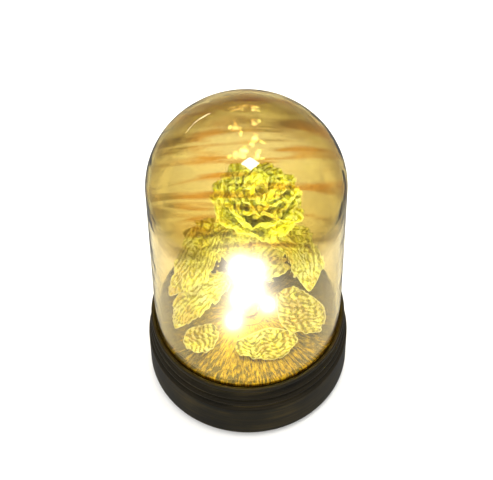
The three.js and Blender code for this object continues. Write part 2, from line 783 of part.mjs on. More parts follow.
// The string of LEDs: one unbroken wire that swells into a bead of clear resin round each LED
function ledString() {
  const line = stringLine();
  const firstBead = 11;
  const beadEvery = 7;
  const points = [];
  const radii = [];
  line.forEach((point, i) => {
    const isBead = i >= firstBead && (i - firstBead) % beadEvery === 0 && i + 1 < line.length;
    if (!isBead) {
      points.push(point);
      radii.push(string.wireRadius);
      return;
    }
    const ahead = line[i + 1].clone().sub(line[i - 1]).normalize();
    for (const [offsetShare, radiusShare] of beadShares) {
      points.push(point.clone().addScaledVector(ahead, offsetShare * string.beadLength));
      radii.push(Math.max(string.wireRadius, radiusShare * string.beadRadius));
    }
  });
  console.log("LED wire: least gap to itself", leastGap(line, string.wireRadius).toFixed(2), "mm");
  return tube(points, radii);
}

const cellBack = (index) => tray.back + (index - (cell.count - 1) / 2) * cell.pitch;
const isTurned = (index) => index % 2 === 1; // every other cell points its positive end left

// A cell lies along X with its positive nub at the right, before it is turned about its own middle.
function aaaCell(index) {
  const half = (cell.length + cell.nubLength) / 2;
  const { edge } = cell;
  const profile = [
    flat(0, -half),
    flat(cell.radius - edge, -half),
    flat(cell.radius, -half + edge),
    flat(cell.radius, half - cell.nubLength - edge),
    flat(cell.radius - edge, half - cell.nubLength),
    flat(cell.nubRadius, half - cell.nubLength),
    flat(cell.nubRadius, half),
    flat(0, half),
  ];
  const towards = isTurned(index) ? -1 : 1;
  const inset = bayLength / 2 - contact.thickness - contact.dimpleHeight - restGap - half;
  return turned(profile, smallSegments)
    .rotateY((towards * Math.PI) / 2)
    .translate(towards * (inset - restGap), cellBack(index), cellZ);
}

// The box that holds the cells, open below, with a rib between each pair
function batteryTray() {
  const length = bayLength / 2;
  const width = bayWidth / 2;
  const { wall, back, ribHeight, ribThickness } = tray;
  const long = length + wall;
  const wide = width + wall;
  const outer = block(-long, long, back - wide, back + wide, plateTop, trayTop);
  const inner = block(-length, length, back - width, back + width, plateTop - overrun, bayTop);
  const ribs = Array.from({ length: cell.count - 1 }, (_, i) => {
    const middle = (cellBack(i) + cellBack(i + 1)) / 2;
    const half = length - tray.springRoom - contact.thickness;
    const [front, behind] = [middle - ribThickness / 2, middle + ribThickness / 2];
    return block(-half, half, front, behind, bayTop - ribHeight, bayTop + wall / 2);
  });
  const slots = [-1, 1].map((end) => {
    const x = end * (length - contact.thickness / 2 - restGap);
    const y = end < 0 ? cellBack(0) : cellBack(cell.count - 1);
    const halfX = contact.thickness / 2 + restGap + slipGap;
    const halfY = contact.tabWidth / 2 + slipGap;
    return block(x - halfX, x + halfX, y - halfY, y + halfY, bayTop - overrun, trayTop + overrun);
  });
  return cut(join(cut(outer, inner), ...ribs), ...slots);
}

// A conical spring from a contact plate, as one wire, pointing along +X
function coneSpring(length) {
  const steps = 6 * spring.turns;
  const points = Array.from({ length: steps + 1 }, (_, i) => {
    const share = i / steps;
    const radius = THREE.MathUtils.lerp(spring.wideRadius, spring.narrowRadius, share);
    const angle = 2 * Math.PI * spring.turns * share;
    return at(length * share, radius * Math.cos(angle), radius * Math.sin(angle));
  });
  return tube(points, even(points, spring.wireRadius), 5);
}

// A contact plate at one end of the bay. Each entry of poles is a cell's index and whether it meets a spring.
function contactPlate(end, poles, hasTab) {
  const face = end * (bayLength / 2 - restGap);
  const inwards = -end;
  const inner = face + inwards * contact.thickness;
  const backs = poles.map(({ index }) => cellBack(index));
  const low = Math.min(...backs) - contact.width / 2;
  const high = Math.max(...backs) + contact.width / 2;
  const bottom = cellZ - contact.height / 2;
  const top = cellZ + contact.height / 2;
  const parts = [block(Math.min(face, inner), Math.max(face, inner), low, high, bottom, top)];
  for (const { index, sprung } of poles) {
    const place = at(inner, cellBack(index), cellZ);
    if (sprung) {
      const room = tray.springRoom - contact.dimpleHeight - 3 * restGap - spring.wireRadius;
      const coil = coneSpring(room).translate(-spring.wireRadius / 2, 0, 0);
      parts.push(coil.rotateZ(inwards < 0 ? Math.PI : 0).translate(place.x, place.y, place.z));
    } else {
      const dimple = rod(contact.dimpleRadius, -contact.thickness / 2, contact.dimpleHeight, 12);
      parts.push(dimple.rotateY((inwards * Math.PI) / 2).translate(place.x, place.y, place.z));
    }
  }
  if (hasTab) {
    const middle = backs[0];
    const half = contact.tabWidth / 2;
    const tabTop = trayTop + contact.tabHeight;
    const [left, right] = [Math.min(face, inner), Math.max(face, inner)];
    parts.push(block(left, right, middle - half, middle + half, top - overrun, tabTop));
  }
  return join(...parts);
}

const doorLength = bayLength - 2 * door.gap;
const doorWidth = bayWidth - 2 * door.gap;
const hinge = at(-bayLength / 2 + door.gap + door.thickness / 2, tray.back, plateBottom + door.thickness / 2);
const slotHalf = (slide.knobLength + slide.travel) / 2 + restGap;
const slotWide = slide.knobWidth / 2 + restGap;

// The plastic plate that closes the base, with the battery opening, the switch's slot and sunk screws
function bottomPlate() {
  const [bayFront, bayBack] = [tray.back - bayWidth / 2, tray.back + bayWidth / 2];
  const opening = rectanglePath(-bayLength / 2, bayLength / 2, bayFront, bayBack);
  const slot = rectanglePath(-slotHalf, slotHalf, -slide.front - slotWide, -slide.front + slotWide);
  const holes = screwPlaces.map((place) => circlePath(screw.shankRadius + slipGap, place.x, place.y));
  const disc = pierced(plateRadius, [opening, slot, ...holes], plateBottom, plateTop);
  const sinkTop = plateBottom + screw.headHeight + slipGap;
  const sink = rod(screw.headRadius + slipGap, plateBottom - overrun, sinkTop, 14);
  const sinks = screwPlaces.map((place) => sink.clone().translate(place.x, place.y, 0));
  const reach = doorWidth / 2 + door.gap + door.pinLength;
  const pinHoles = rod(door.pinRadius + slipGap, -reach, reach, 10).rotateX(Math.PI / 2);
  return cut(disc, ...sinks, pinHoles.translate(hinge.x, hinge.y, hinge.z));
}

// The battery door, about its hinge line: a rounded knuckle with two pins, grip ridges and a catch
function batteryDoor() {
  const half = door.thickness / 2;
  const far = doorLength - half;
  const outline = new THREE.Shape([...arc(0, 0, half, half, 90, 270, 8), flat(far, -half), flat(far, half)]);
  const slab = new THREE.ExtrudeGeometry(outline, { depth: doorWidth, bevelEnabled: false })
    .rotateX(Math.PI / 2)
    .translate(0, doorWidth / 2, 0);
  const pinReach = doorWidth / 2 + door.gap + door.pinLength - slipGap;
  const pins = rod(door.pinRadius, -pinReach, pinReach, 10).rotateX(Math.PI / 2);
  const catchBlock = block(
    far - door.thickness,
    far - slipGap,
    -door.catchWidth / 2,
    door.catchWidth / 2,
    0,
    plate.thickness - half + restGap,
  );
  const grips = Array.from({ length: doorGrip.count }, (_, i) => {
    const x = far - doorGrip.fromEnd - i * doorGrip.spacing;
    const y = doorGrip.length / 2;
    return block(x - doorGrip.width, x, -y, y, -half - overrun, -half + doorGrip.depth);
  });
  return cut(join(slab, pins, catchBlock), ...grips);
}

const bodyBottom = plateTop + slide.earThickness;

// The slide switch: a box with two ears, open below for its knob, and three pins above
function switchBody() {
  const half = slide.bodyLength / 2;
  const wide = slide.bodyWidth / 2;
  const ears = block(-half - slide.earLength, half + slide.earLength, -wide, wide, plateTop, bodyBottom);
  const boxBottom = bodyBottom - slide.earThickness / 2;
  const box = block(-half, half, -wide, wide, boxBottom, bodyBottom + slide.bodyHeight);
  const pins = [-1, 0, 1].map((i) => {
    const x = i * slide.pinPitch;
    const pin = slide.pinWidth / 2;
    const top = bodyBottom + slide.bodyHeight;
    return block(x - pin, x + pin, -pin, pin, top - overrun, top + slide.pinHeight);
  });
  const mouth = block(-slotHalf, slotHalf, -slotWide, slotWide, plateTop - overrun, bodyBottom + restGap);
  const carrier = slotHalf + slide.knobLength / 4;
  const room = block(
    -carrier - restGap,
    carrier + restGap,
    -slotWide,
    slotWide,
    bodyBottom,
    bodyBottom + slide.carrierHeight + 2 * restGap,
  );
  const earHole = rod(slide.screwHoleRadius, plateTop - overrun, bodyBottom + overrun, 12);
  const earHoles = [-1, 1].map((end) => earHole.clone().translate(end * (half + slide.earLength / 2), 0, 0));
  return cut(join(ears, box, ...pins), mouth, room, ...earHoles).translate(0, -slide.front, 0);
}

// The switch's knob, at the left end of its travel, where the light is on
function switchKnob() {
  const long = slide.knobLength / 2;
  const wide = slide.knobWidth / 2;
  const bottom = plateBottom - slide.knobProud;
  const stick = block(-long, long, -wide, wide, bottom, bodyBottom + restGap + slide.carrierHeight / 2);
  const carrierHalf = long * 1.5;
  const carrierBottom = bodyBottom + restGap / 2;
  const carrierTop = carrierBottom + slide.carrierHeight;
  const carrier = block(-carrierHalf, carrierHalf, -wide, wide, carrierBottom, carrierTop);
  const past = wide + overrun;
  const notch = block(-long / 4, long / 4, -past, past, bottom - overrun, bottom + long / 4);
  return cut(join(stick, carrier), notch).translate(-slide.travel / 2, -slide.front, 0);
}

function plateScrew() {
  const bottom = plateBottom + slipGap;
  const head = rod(screw.headRadius, bottom, bottom + screw.headHeight - slipGap, 14);
  const shank = rod(screw.shankRadius, bottom, bottom + screw.length, 10);
  const { driveRadius, driveDepth } = screw;
  const drive = new THREE.CylinderGeometry(driveRadius, driveRadius, driveDepth + overrun, 6);
  drive.rotateX(Math.PI / 2).translate(0, 0, bottom + (driveDepth - overrun) / 2);
  return cut(join(head, shank), drive);
}

function switchScrew() {
  const bottom = bodyBottom + slipGap;
  const head = rod(earScrew.headRadius, bottom, bottom + earScrew.headHeight, 12);
  const [shankBottom, shankTop] = [bottom - slide.earThickness / 2, bottom + earScrew.headHeight / 2];
  const shank = rod(earScrew.shankRadius, shankBottom, shankTop, 10);
  return join(head, shank);
}

function rubberFoot() {
  const { radius, round } = foot;
  const profile = [
    flat(0, 0),
    flat(radius - round, 0),
    flat(radius, round),
    flat(radius, plateBottom),
    flat(0, plateBottom),
  ];
  return turned(profile, smallSegments);
}

function driverBoard() {
  const half = board.length / 2;
  const wide = board.width / 2;
  return block(-half, half, board.back - wide, board.back + wide, trayTop + restGap, boardTop);
}

// The series resistor: a waisted barrel on two bent legs
function seriesResistor() {
  const { radius, length, legRadius, legSpan, waistShare } = resistor;
  const height = radius + restGap;
  const barrel = turned(
    [
      flat(0, -length / 2),
      flat(radius, -length / 2),
      flat(radius, -length / 4),
      flat(radius * waistShare, 0),
      flat(radius, length / 4),
      flat(radius, length / 2),
      flat(0, length / 2),
    ],
    12,
  ).rotateX(Math.PI / 2);
  const ends = [-legSpan / 2, legSpan / 2];
  const leg = [
    at(0, ends[0], restGap - height),
    ...ends.map((end) => at(0, end, 0)),
    at(0, ends[1], restGap - height),
  ];
  const whole = join(barrel, tube(leg, even(leg, legRadius), 6));
  return whole.translate(-board.length / 4, board.back, boardTop + height);
}

// A lead between two places, rising a little in between
function leadWire(from, to, rise = lead.rise) {
  const up = at(0, 0, rise);
  const line = new THREE.CubicBezierCurve3(from, from.clone().add(up), to.clone().add(up), to).getPoints(12);
  return tube(line, even(line, lead.radius), 6);
}

const tabFace = bayLength / 2 - restGap - contact.thickness / 2;
const tabTop = trayTop + contact.tabHeight + lead.radius / 2;
const pinTop = bodyBottom + slide.bodyHeight + slide.pinHeight + restGap;
const padZ = boardTop + restGap;

piece("jar_glass", jarGlass(), "glass");
piece("base_ring", baseRing(), "wood");
piece("deck_disc", deckDisc(), "deck");
piece("stem_socket", stemSocket(), "goldFoil");

const stemPoints = stemLine();
piece("rose_stem", tube(stemPoints, even(stemPoints, stem.radius), 12), "leafFoil", rose);

const flower = new THREE.Group();
flower.position.copy(stemTop.clone().addScaledVector(neckAim, bloom.hipHeight - stem.neckLength + restGap));
flower.quaternion.setFromUnitVectors(at(0, 0, 1), neckAim);
rose.add(flower);
piece("rose_hip", hip(), "leafFoil", flower);
piece("calyx", calyx(), "leafFoil", flower);
petalLayers.forEach((layer, order) => piece(layer.name, petalLayer(layer, order), "goldFoil", flower));
piece("heart_scroll", heartScroll(), "goldFoil", flower);

leaves.forEach((each) => piece(each.name, leaf(each), "leafFoil", rose));
fallenPetals.forEach((each) => {
  const mesh = piece(each.name, fallenPetal(each), "goldFoil", rose);
  const [right, back] = each.placeShares.map((share) => share * jarInner);
  mesh.position.set(right, back, 0);
  mesh.rotation.z = degrees(each.turnDegrees);
});
piece("led_string", ledString(), "copper", rose);

piece("bottom_plate", bottomPlate(), "plastic");
piece("battery_tray", batteryTray(), "plastic");
for (let index = 0; index < cell.count; index++) piece(`battery_cell_${index + 1}`, aaaCell(index), "sleeve");
piece("contact_negative", contactPlate(-1, [{ index: 0, sprung: true }], true), "steel");
const leftEnds = [
  { index: 1, sprung: false },
  { index: 2, sprung: true },
];
piece("contact_bridge_left", contactPlate(-1, leftEnds, false), "steel");
const rightEnds = [
  { index: 0, sprung: false },
  { index: 1, sprung: true },
];
piece("contact_bridge_right", contactPlate(1, rightEnds, false), "steel");
piece("contact_positive", contactPlate(1, [{ index: 2, sprung: false }], true), "steel");

const hatch = piece("battery_door", batteryDoor(), "plastic");
hatch.position.copy(hinge);
piece("switch_body", switchBody(), "plastic");
piece("switch_knob", switchKnob(), "plastic");
[-1, 1].forEach((end, i) => {
  const mesh = piece(`switch_screw_${i + 1}`, switchScrew(), "steel");
  mesh.position.set((end * (slide.bodyLength + slide.earLength)) / 2, -slide.front, 0);
});
screwPlaces.forEach((place, i) => piece(`plate_screw_${i + 1}`, plateScrew(), "steel").position.copy(place));
for (let i = 0; i < foot.count; i++) {
  const angle = degrees(45) + (2 * Math.PI * i) / foot.count;
  const mesh = piece(`rubber_foot_${i + 1}`, rubberFoot(), "rubber");
  const fromAxis = plateRadius - foot.edgeMargin - foot.radius;
  mesh.position.set(fromAxis * Math.cos(angle), fromAxis * Math.sin(angle), 0);
}

piece("driver_board", driverBoard(), "fibreglass");
piece("series_resistor", seriesResistor(), "redLead");
const padBack = board.back - board.width / 4;
const negativeTab = at(-tabFace, cellBack(0), tabTop);
const positiveTab = at(tabFace, cellBack(cell.count - 1), tabTop);
const negativePad = at(-board.length / 2 + 2 * lead.radius, padBack, padZ);
const switchedPad = at(board.length / 4, padBack, padZ);
const middlePin = at(0, -slide.front, pinTop);
const rightPin = at(slide.pinPitch, -slide.front, pinTop);
piece("lead_negative", leadWire(negativeTab, negativePad), "blackLead");
piece("lead_positive", leadWire(positiveTab, rightPin, 2 * lead.rise), "redLead");
piece("lead_switched", leadWire(middlePin, switchedPad, 2 * lead.rise), "redLead");

export default lamp;
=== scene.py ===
# A battery lamp, a gold foil rose under a glass bell jar: its looks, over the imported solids
import math
from functools import partial
from types import SimpleNamespace

import bpy
import numpy as np
from mathutils import Matrix, Vector


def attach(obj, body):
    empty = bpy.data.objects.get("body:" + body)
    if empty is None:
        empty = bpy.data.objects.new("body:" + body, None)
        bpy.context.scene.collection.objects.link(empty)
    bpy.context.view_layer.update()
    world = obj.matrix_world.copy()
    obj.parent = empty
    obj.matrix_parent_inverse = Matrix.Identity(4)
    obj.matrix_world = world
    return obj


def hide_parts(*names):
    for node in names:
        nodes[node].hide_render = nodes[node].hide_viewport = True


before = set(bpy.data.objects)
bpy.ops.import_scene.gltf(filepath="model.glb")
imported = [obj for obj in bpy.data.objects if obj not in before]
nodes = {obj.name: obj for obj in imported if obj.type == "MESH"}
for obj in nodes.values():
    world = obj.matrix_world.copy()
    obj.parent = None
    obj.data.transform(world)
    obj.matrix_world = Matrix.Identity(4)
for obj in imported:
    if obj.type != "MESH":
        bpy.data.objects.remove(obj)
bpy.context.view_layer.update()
millimetre = 0.001


def linearFrom(hexColour):
    # an sRGB hex colour, each channel undone to linear light, with full alpha
    channels = np.array([int(hexColour[i : i + 2], 16) for i in (1, 3, 5)]) / 255
    linear = np.where(channels <= 0.04045, channels / 12.92, ((channels + 0.055) / 1.055) ** 2.4)
    return (*linear.tolist(), 1.0)


# Camera, at the place fitted to the photographed outlines of the glass and the base

camera = {
    "target": (0.0, 0.0, 45.0),  # mm, the middle of the wooden ledge
    "elevation": 56.385,  # degrees above level
    "distance": 1011.75,  # mm
    "focalPixels": 1841.03,
    "imageSize": (493, 480),
    "targetPixel": (246.16, 307.55),
    "roll": 0.669,  # degrees, the lamp's axis leans right at its top
    "sensor": 36.0,
}


def placeCamera(settings):
    # looks from back along the line to the target, then turns until the target falls on its pixel
    s = SimpleNamespace(**settings)
    elevation = math.radians(s.elevation)
    back = Vector((0, -math.cos(elevation), math.sin(elevation)))
    target = Vector(s.target) * millimetre
    eye = target + back * s.distance * millimetre
    wide, high = s.imageSize
    column, row = s.targetPixel
    rollBack = Matrix.Rotation(math.radians(s.roll), 3, "Z")
    offset = rollBack @ Vector((column - wide / 2, high / 2 - row, 0))
    tilt = Matrix.Rotation(math.atan2(-offset.y, s.focalPixels), 3, "X")
    pan = Matrix.Rotation(math.atan2(offset.x, s.focalPixels), 3, "Y")
    level = Matrix.Rotation(math.radians(90) - elevation, 3, "X")
    data = bpy.data.cameras.new("camera")
    data.sensor_width = s.sensor
    data.lens = s.focalPixels / wide * s.sensor
    data.clip_start, data.clip_end = 0.05, 20
    holder = bpy.data.objects.new("camera", data)
    turned = level @ tilt @ pan @ rollBack.inverted()
    holder.matrix_world = Matrix.Translation(eye) @ turned.to_4x4()
    bpy.context.collection.objects.link(holder)
    bpy.context.scene.camera = holder


placeCamera(camera)
print("camera placed")


# Surfaces worked out as whole arrays


def smoothShare(low, high, value):
    # 0 below low, 1 above high, and 3t^2 - 2t^3 between
    share = np.clip((value - low) / (high - low), 0, 1)
    return share * share * (3 - 2 * share)


def unit(vectors):
    # each vector over its own length
    return vectors / np.maximum(np.linalg.norm(vectors, axis=-1, keepdims=True), 1e-12)


def polar(radius, angle, height):
    # points from their distance off the axis, their direction from it and their height
    return np.stack(np.broadcast_arrays(radius * np.cos(angle), radius * np.sin(angle), height), -1)


def sheetGrid(rows, columns):
    # shares of the way along a sheet, from 0 to 1, and across it, from -1 to 1
    return np.linspace(0, 1, rows)[:, None], np.linspace(-1, 1, columns)[None, :]


def normalsOf(surface):
    # the cross product of a grid's slopes along and across, made one long
    return unit(np.cross(np.gradient(surface, axis=0), np.gradient(surface, axis=1)))


def raised(surface, depth):
    # each point goes out along its normal by the depth there
    return surface + normalsOf(surface) * depth[..., None]


def collar(bore, radius, low, high, inset, bevel):
    # the profile of a bored disc whose outer corners are cut off
    rim = [[radius - inset, low], [radius, low + bevel], [radius, high - bevel], [radius - inset, high]]
    return [[bore, low], *rim, [bore, high]]


def gridFaces(rows, columns, closeRows=False, closeColumns=False):
    # four-cornered faces between neighbouring points of a grid, which may close on itself each way
    row = np.arange(rows if closeRows else rows - 1)[:, None]
    column = np.arange(columns if closeColumns else columns - 1)[None, :]
    nextRow, nextColumn = (row + 1) % rows, (column + 1) % columns
    corners = (row * columns + column, nextRow * columns + column)
    corners += (nextRow * columns + nextColumn, row * columns + nextColumn)
    return np.stack(np.broadcast_arrays(*corners), -1).reshape(-1, 4)


def putPiece(name, parts, material, attributes=None, lit=None):
    # joins parts, each its points in millimetres, its lists of faces and for a sheet its marks, into one
    # mesh that faces outwards
    points, faces, marks, start = [], [], [], 0
    for places, corners, *marked in parts:
        marks.append(marked[0] if marked else np.zeros((len(places), 2)))
        volume = 0
        for group in corners:
            a, b, c = (places[group[:, i]] for i in range(3))
            volume += np.einsum("ij,ij->", a, np.cross(b, c))
            if group.shape[1] == 4:
                d = places[group[:, 3]]
                volume += np.einsum("ij,ij->", a, np.cross(c, d))
        for group in corners:
            faces += ((group if volume > 0 else group[:, ::-1]) + start).tolist()
        points.append(places)
        start += len(places)
    mesh = bpy.data.meshes.new(name)
    mesh.from_pydata((np.vstack(points) * millimetre).tolist(), [], faces)
    mesh.polygons.foreach_set("use_smooth", np.ones(len(faces), bool))
    rim, fold = np.concatenate(marks).T
    for label, values in {"rim": rim, "fold": fold, **(attributes or {})}.items():
        layer = mesh.attributes.new(label, "FLOAT", "POINT")
        layer.data.foreach_set("value", values.astype(np.float32))
    for item in material if isinstance(material, list) else [material]:
        mesh.materials.append(item)
    if lit is not None:
        mesh.polygons.foreach_set("material_index", lit.astype(np.int32))
    mesh.update()
    holder = bpy.data.objects.new(name, mesh)
    bpy.context.collection.objects.link(holder)
    return holder


def turned(profile, segments):
    # each point of the profile, radius and height, is carried round the axis; a profile that starts
    # and ends on the axis gets a pole at each end, and any other closes on itself
    profile = np.asarray(profile, float)
    angle = np.linspace(0, 2 * np.pi, segments, endpoint=False)
    poles = profile[0, 0] < 1e-6
    rings = profile[1:-1] if poles else profile
    points = polar(rings[:, :1], angle, rings[:, 1:]).reshape(-1, 3)
    faces = [gridFaces(len(rings), segments, not poles, True)]
    if poles:
        low, high = len(points), len(points) + 1
        points = np.vstack([points, [[0, 0, profile[0, 1]], [0, 0, profile[-1, 1]]]])
        first = np.arange(segments)
        last = first + (len(rings) - 1) * segments
        follow = (first + 1) % segments
        faces.append(np.stack([first, follow, np.full(segments, low)], -1))
        faces.append(np.stack([last, np.full(segments, high), follow + last[0]], -1))
    return points, faces


def swept(path, radii, sides, reference):
    # a circle of the radius given at each point of the path stands square to it, with a pole at each end
    ahead = unit(np.gradient(path, axis=0))
    across = unit(np.cross(ahead, reference))
    over = np.cross(across, ahead)
    angle = np.linspace(0, 2 * np.pi, sides, endpoint=False)[None, :, None]
    rim = across[:, None] * np.cos(angle) + over[:, None] * np.sin(angle)
    radii = radii if radii.ndim == 2 else radii[:, None]
    points = (path[:, None] + rim * radii[..., None]).reshape(-1, 3)
    count = len(path)
    points = np.vstack([points, path[:1], path[-1:]])
    first = np.arange(sides)
    last = first + (count - 1) * sides
    follow = (first + 1) % sides
    startCap = np.stack([first, np.full(sides, count * sides), follow], -1)
    endCap = np.stack([last, follow + last[0], np.full(sides, count * sides + 1)], -1)
    return points, [gridFaces(count, sides, False, True), startCap, endCap]


def creaseOf(relief, steps):
    # how sharply a relief kinks, from the change of its slope along both ways of the grid, spread a little
    kink = sum(np.gradient(np.gradient(relief, axis=axis), axis=axis) / steps[axis] for axis in (0, 1))
    for axis in (0, 1):
        kink = (np.roll(kink, 1, axis) + kink + np.roll(kink, -1, axis)) / 2
    return np.clip(kink / 0.36, -1, 1)


rimReach = 0.8  # mm, over which a painted highlight brightens a film's rim


def shell(surface, thickness, relief):
    # a sheet with two faces and a rim, from a grid of points on its middle: each goes half the thickness
    # out along the surface's normal on either side. Two marks go with it: the nearness to the sides and the
    # far end, a bell curve of the way over the surface, and the kinks of its relief, ridges above 0
    rows, columns = surface.shape[:2]
    half = normalsOf(surface) * thickness / 2
    upper, lower = surface + half, surface - half
    loops = np.concatenate([upper, lower[:, ::-1]], 1)
    around = 2 * columns
    first = np.arange(columns - 1)
    caps = []
    for start, flipped in ((0, True), ((rows - 1) * around, False)):
        cap = np.stack([first, first + 1, around - 2 - first, around - 1 - first], -1) + start
        caps.append(cap[:, ::-1] if flipped else cap)
    along, across = (np.linalg.norm(np.diff(surface, axis=axis), axis=2) for axis in (0, 1))
    far = np.concatenate([np.zeros((rows, 1)), np.cumsum(across, 1)], 1)
    left = np.concatenate([np.cumsum(along[::-1], 0)[::-1], np.zeros((1, columns))], 0)
    rim = np.exp(-((np.minimum(np.minimum(far, far[:, -1:] - far), left) / rimReach) ** 2))
    kink = creaseOf(relief, (along.mean(), across.mean()))
    # these marks carry the film's painted highlight on rims and ridges and its painted shade in hollows
    marks = [np.concatenate([side, other[:, ::-1]], 1).ravel() for side, other in ((rim, rim), (-kink, kink))]
    return loops.reshape(-1, 3), [gridFaces(rows, around, False, True), *caps], np.stack(marks, -1)


def triangle(place):
    # straight flanks between -1 at each whole number and 1 halfway
    return 4 * np.abs(place - np.floor(place + 0.5)) - 1


def crumple(x, y, waves, seed):
    # creased foil: triangle waves of several lengths, each along its own direction and bent by a slow sine
    chance = np.random.default_rng(seed)
    x, y = np.broadcast_arrays(x, y)
    height = np.zeros(x.shape)
    for length, slope in waves:
        turn, shift, bend = chance.uniform(0, np.pi), chance.uniform(0, 9), chance.uniform(0.3, 0.8)
        path = x * np.cos(turn) + y * np.sin(turn)
        side = y * np.cos(turn) - x * np.sin(turn)
        place = path / length + shift + bend * np.sin(side / length * 1.3 + shift)
        height += slope * length / 4 * triangle(place)
    return height


def curveThrough(points, shares):
    # a centripetal Catmull-Rom curve, which takes as long over each stretch between two points
    points = np.asarray(points, float)
    padded = np.vstack([2 * points[0] - points[1], points, 2 * points[-1] - points[-2]])
    place = np.asarray(shares) * (len(points) - 1)
    index = np.minimum(place.astype(int), len(points) - 2)
    weight = (place - index)[:, None]
    p0, p1, p2, p3 = (padded[index + i] for i in range(4))
    gap = [np.sqrt(np.linalg.norm(b - a, axis=-1, keepdims=True)) for a, b in ((p0, p1), (p1, p2), (p2, p3))]
    start = ((p1 - p0) / gap[0] - (p2 - p0) / (gap[0] + gap[1]) + (p2 - p1) / gap[1]) * gap[1]
    end = ((p2 - p1) / gap[1] - (p3 - p1) / (gap[1] + gap[2]) + (p3 - p2) / gap[2]) * gap[1]
    square, cube = 3 * (p2 - p1) - 2 * start - end, 2 * (p1 - p2) + start + end
    return p1 + start * weight + square * weight**2 + cube * weight**3


def turnTo(aim):
    # the shortest turn that carries +Z to aim
    x, y, z = aim
    skew = np.array([[0, 0, x], [0, 0, y], [-x, -y, 0]])
    return np.eye(3) + skew + skew @ skew / (1 + z)


# Materials


def addNode(tree, kind, inputs=None):
    # adds a node: what is given are its own options, its sockets' values, a ramp's stops, the two ends of
    # what a range goes from and to, or for a link the node that it comes from, alone for its first output or
    # with the output's name
    node = tree.nodes.new(kind if kind.startswith("Compositor") else "ShaderNode" + kind)
    for key, value in (inputs or {}).items():
        value = (value, 0) if isinstance(value, bpy.types.Node) else value
        if isinstance(value, tuple) and isinstance(value[0], bpy.types.Node):
            tree.links.new(value[0].outputs[value[1]], node.inputs[key])
        elif key == "stops":
            ramp = node.color_ramp.elements
            while len(ramp) < len(value):
                ramp.new(0.5)
            for stop, (place, colour) in zip(ramp, value):
                stop.position, stop.color = place, linearFrom(colour)
        elif key in ("from", "to"):
            for end, limit in zip((" Min", " Max"), value):
                node.inputs[key.title() + end].default_value = limit
        elif isinstance(key, int) or key in node.inputs:
            node.inputs[key].default_value = linearFrom(value) if isinstance(value, str) else value
        else:
            setattr(node, key, value)
    return node


def makeMaterial(name, build, looks):
    # build is given what adds a node and the link to the piece's own metres, and gives back the surface
    material = bpy.data.materials.new(name)
    material.use_nodes = True
    material.node_tree.nodes.clear()
    add = partial(addNode, material.node_tree)
    surface = build(add, (add("TexCoord"), "Object"), looks)
    add("OutputMaterial", {"Surface": (surface, 0)})
    return material


def coated(add, colour, gloss, roughness, relief, bump, more=None):
    # one surface: what gloss gives runs its roughness from one value to the other, and relief bumps it
    dull = add("MapRange", {"to": roughness, "Value": gloss})
    bumped = add("Bump", {"Strength": bump[0], "Distance": bump[1], "Height": relief})
    return add("BsdfPrincipled", {
        "Base Color": colour, "Roughness": dull, "Normal": bumped, **(more or {}),
    })


# Soda-lime glass, blown: colourless to the hand, but painted with an amber cast, deepest at the top, for the
# lamp's warm light and the brown room seen through it, with painted reflections streaked over the crown and
# painted shade at its grazing edges. Slow waves from blowing bend the reflections.
glassLooks = {
    "castBottom": 0.044,
    "castTop": 0.2,
    "cast": (
        (0.0, "#ffeeb0"),
        (0.3, "#fff1c2"),
        (0.6, "#f3e8c0"),
        (0.74, "#cebd70"),
        (0.86, "#cabb76"),
        (1.0, "#cabf8c"),
    ),
    # painted reflections: the colours of the streaks in the crown
    "streak": ((0.42, "#86702f"), (0.58, "#b88226")),
    "streakSize": (0.05, 0.05, 0.0055),  # m
    "streakPlace": (0.07, 0.0, 0.0),  # m
    "streakTilt": -56.4,  # degrees
    "streakShare": 0.9,
    # painted shade at the crown's grazing edges
    "edge": "#7d6c42",
    "waveSize": 0.02,  # m
    "smearSize": 0.018,  # m
    "roughness": (0.0, 0.05),
}


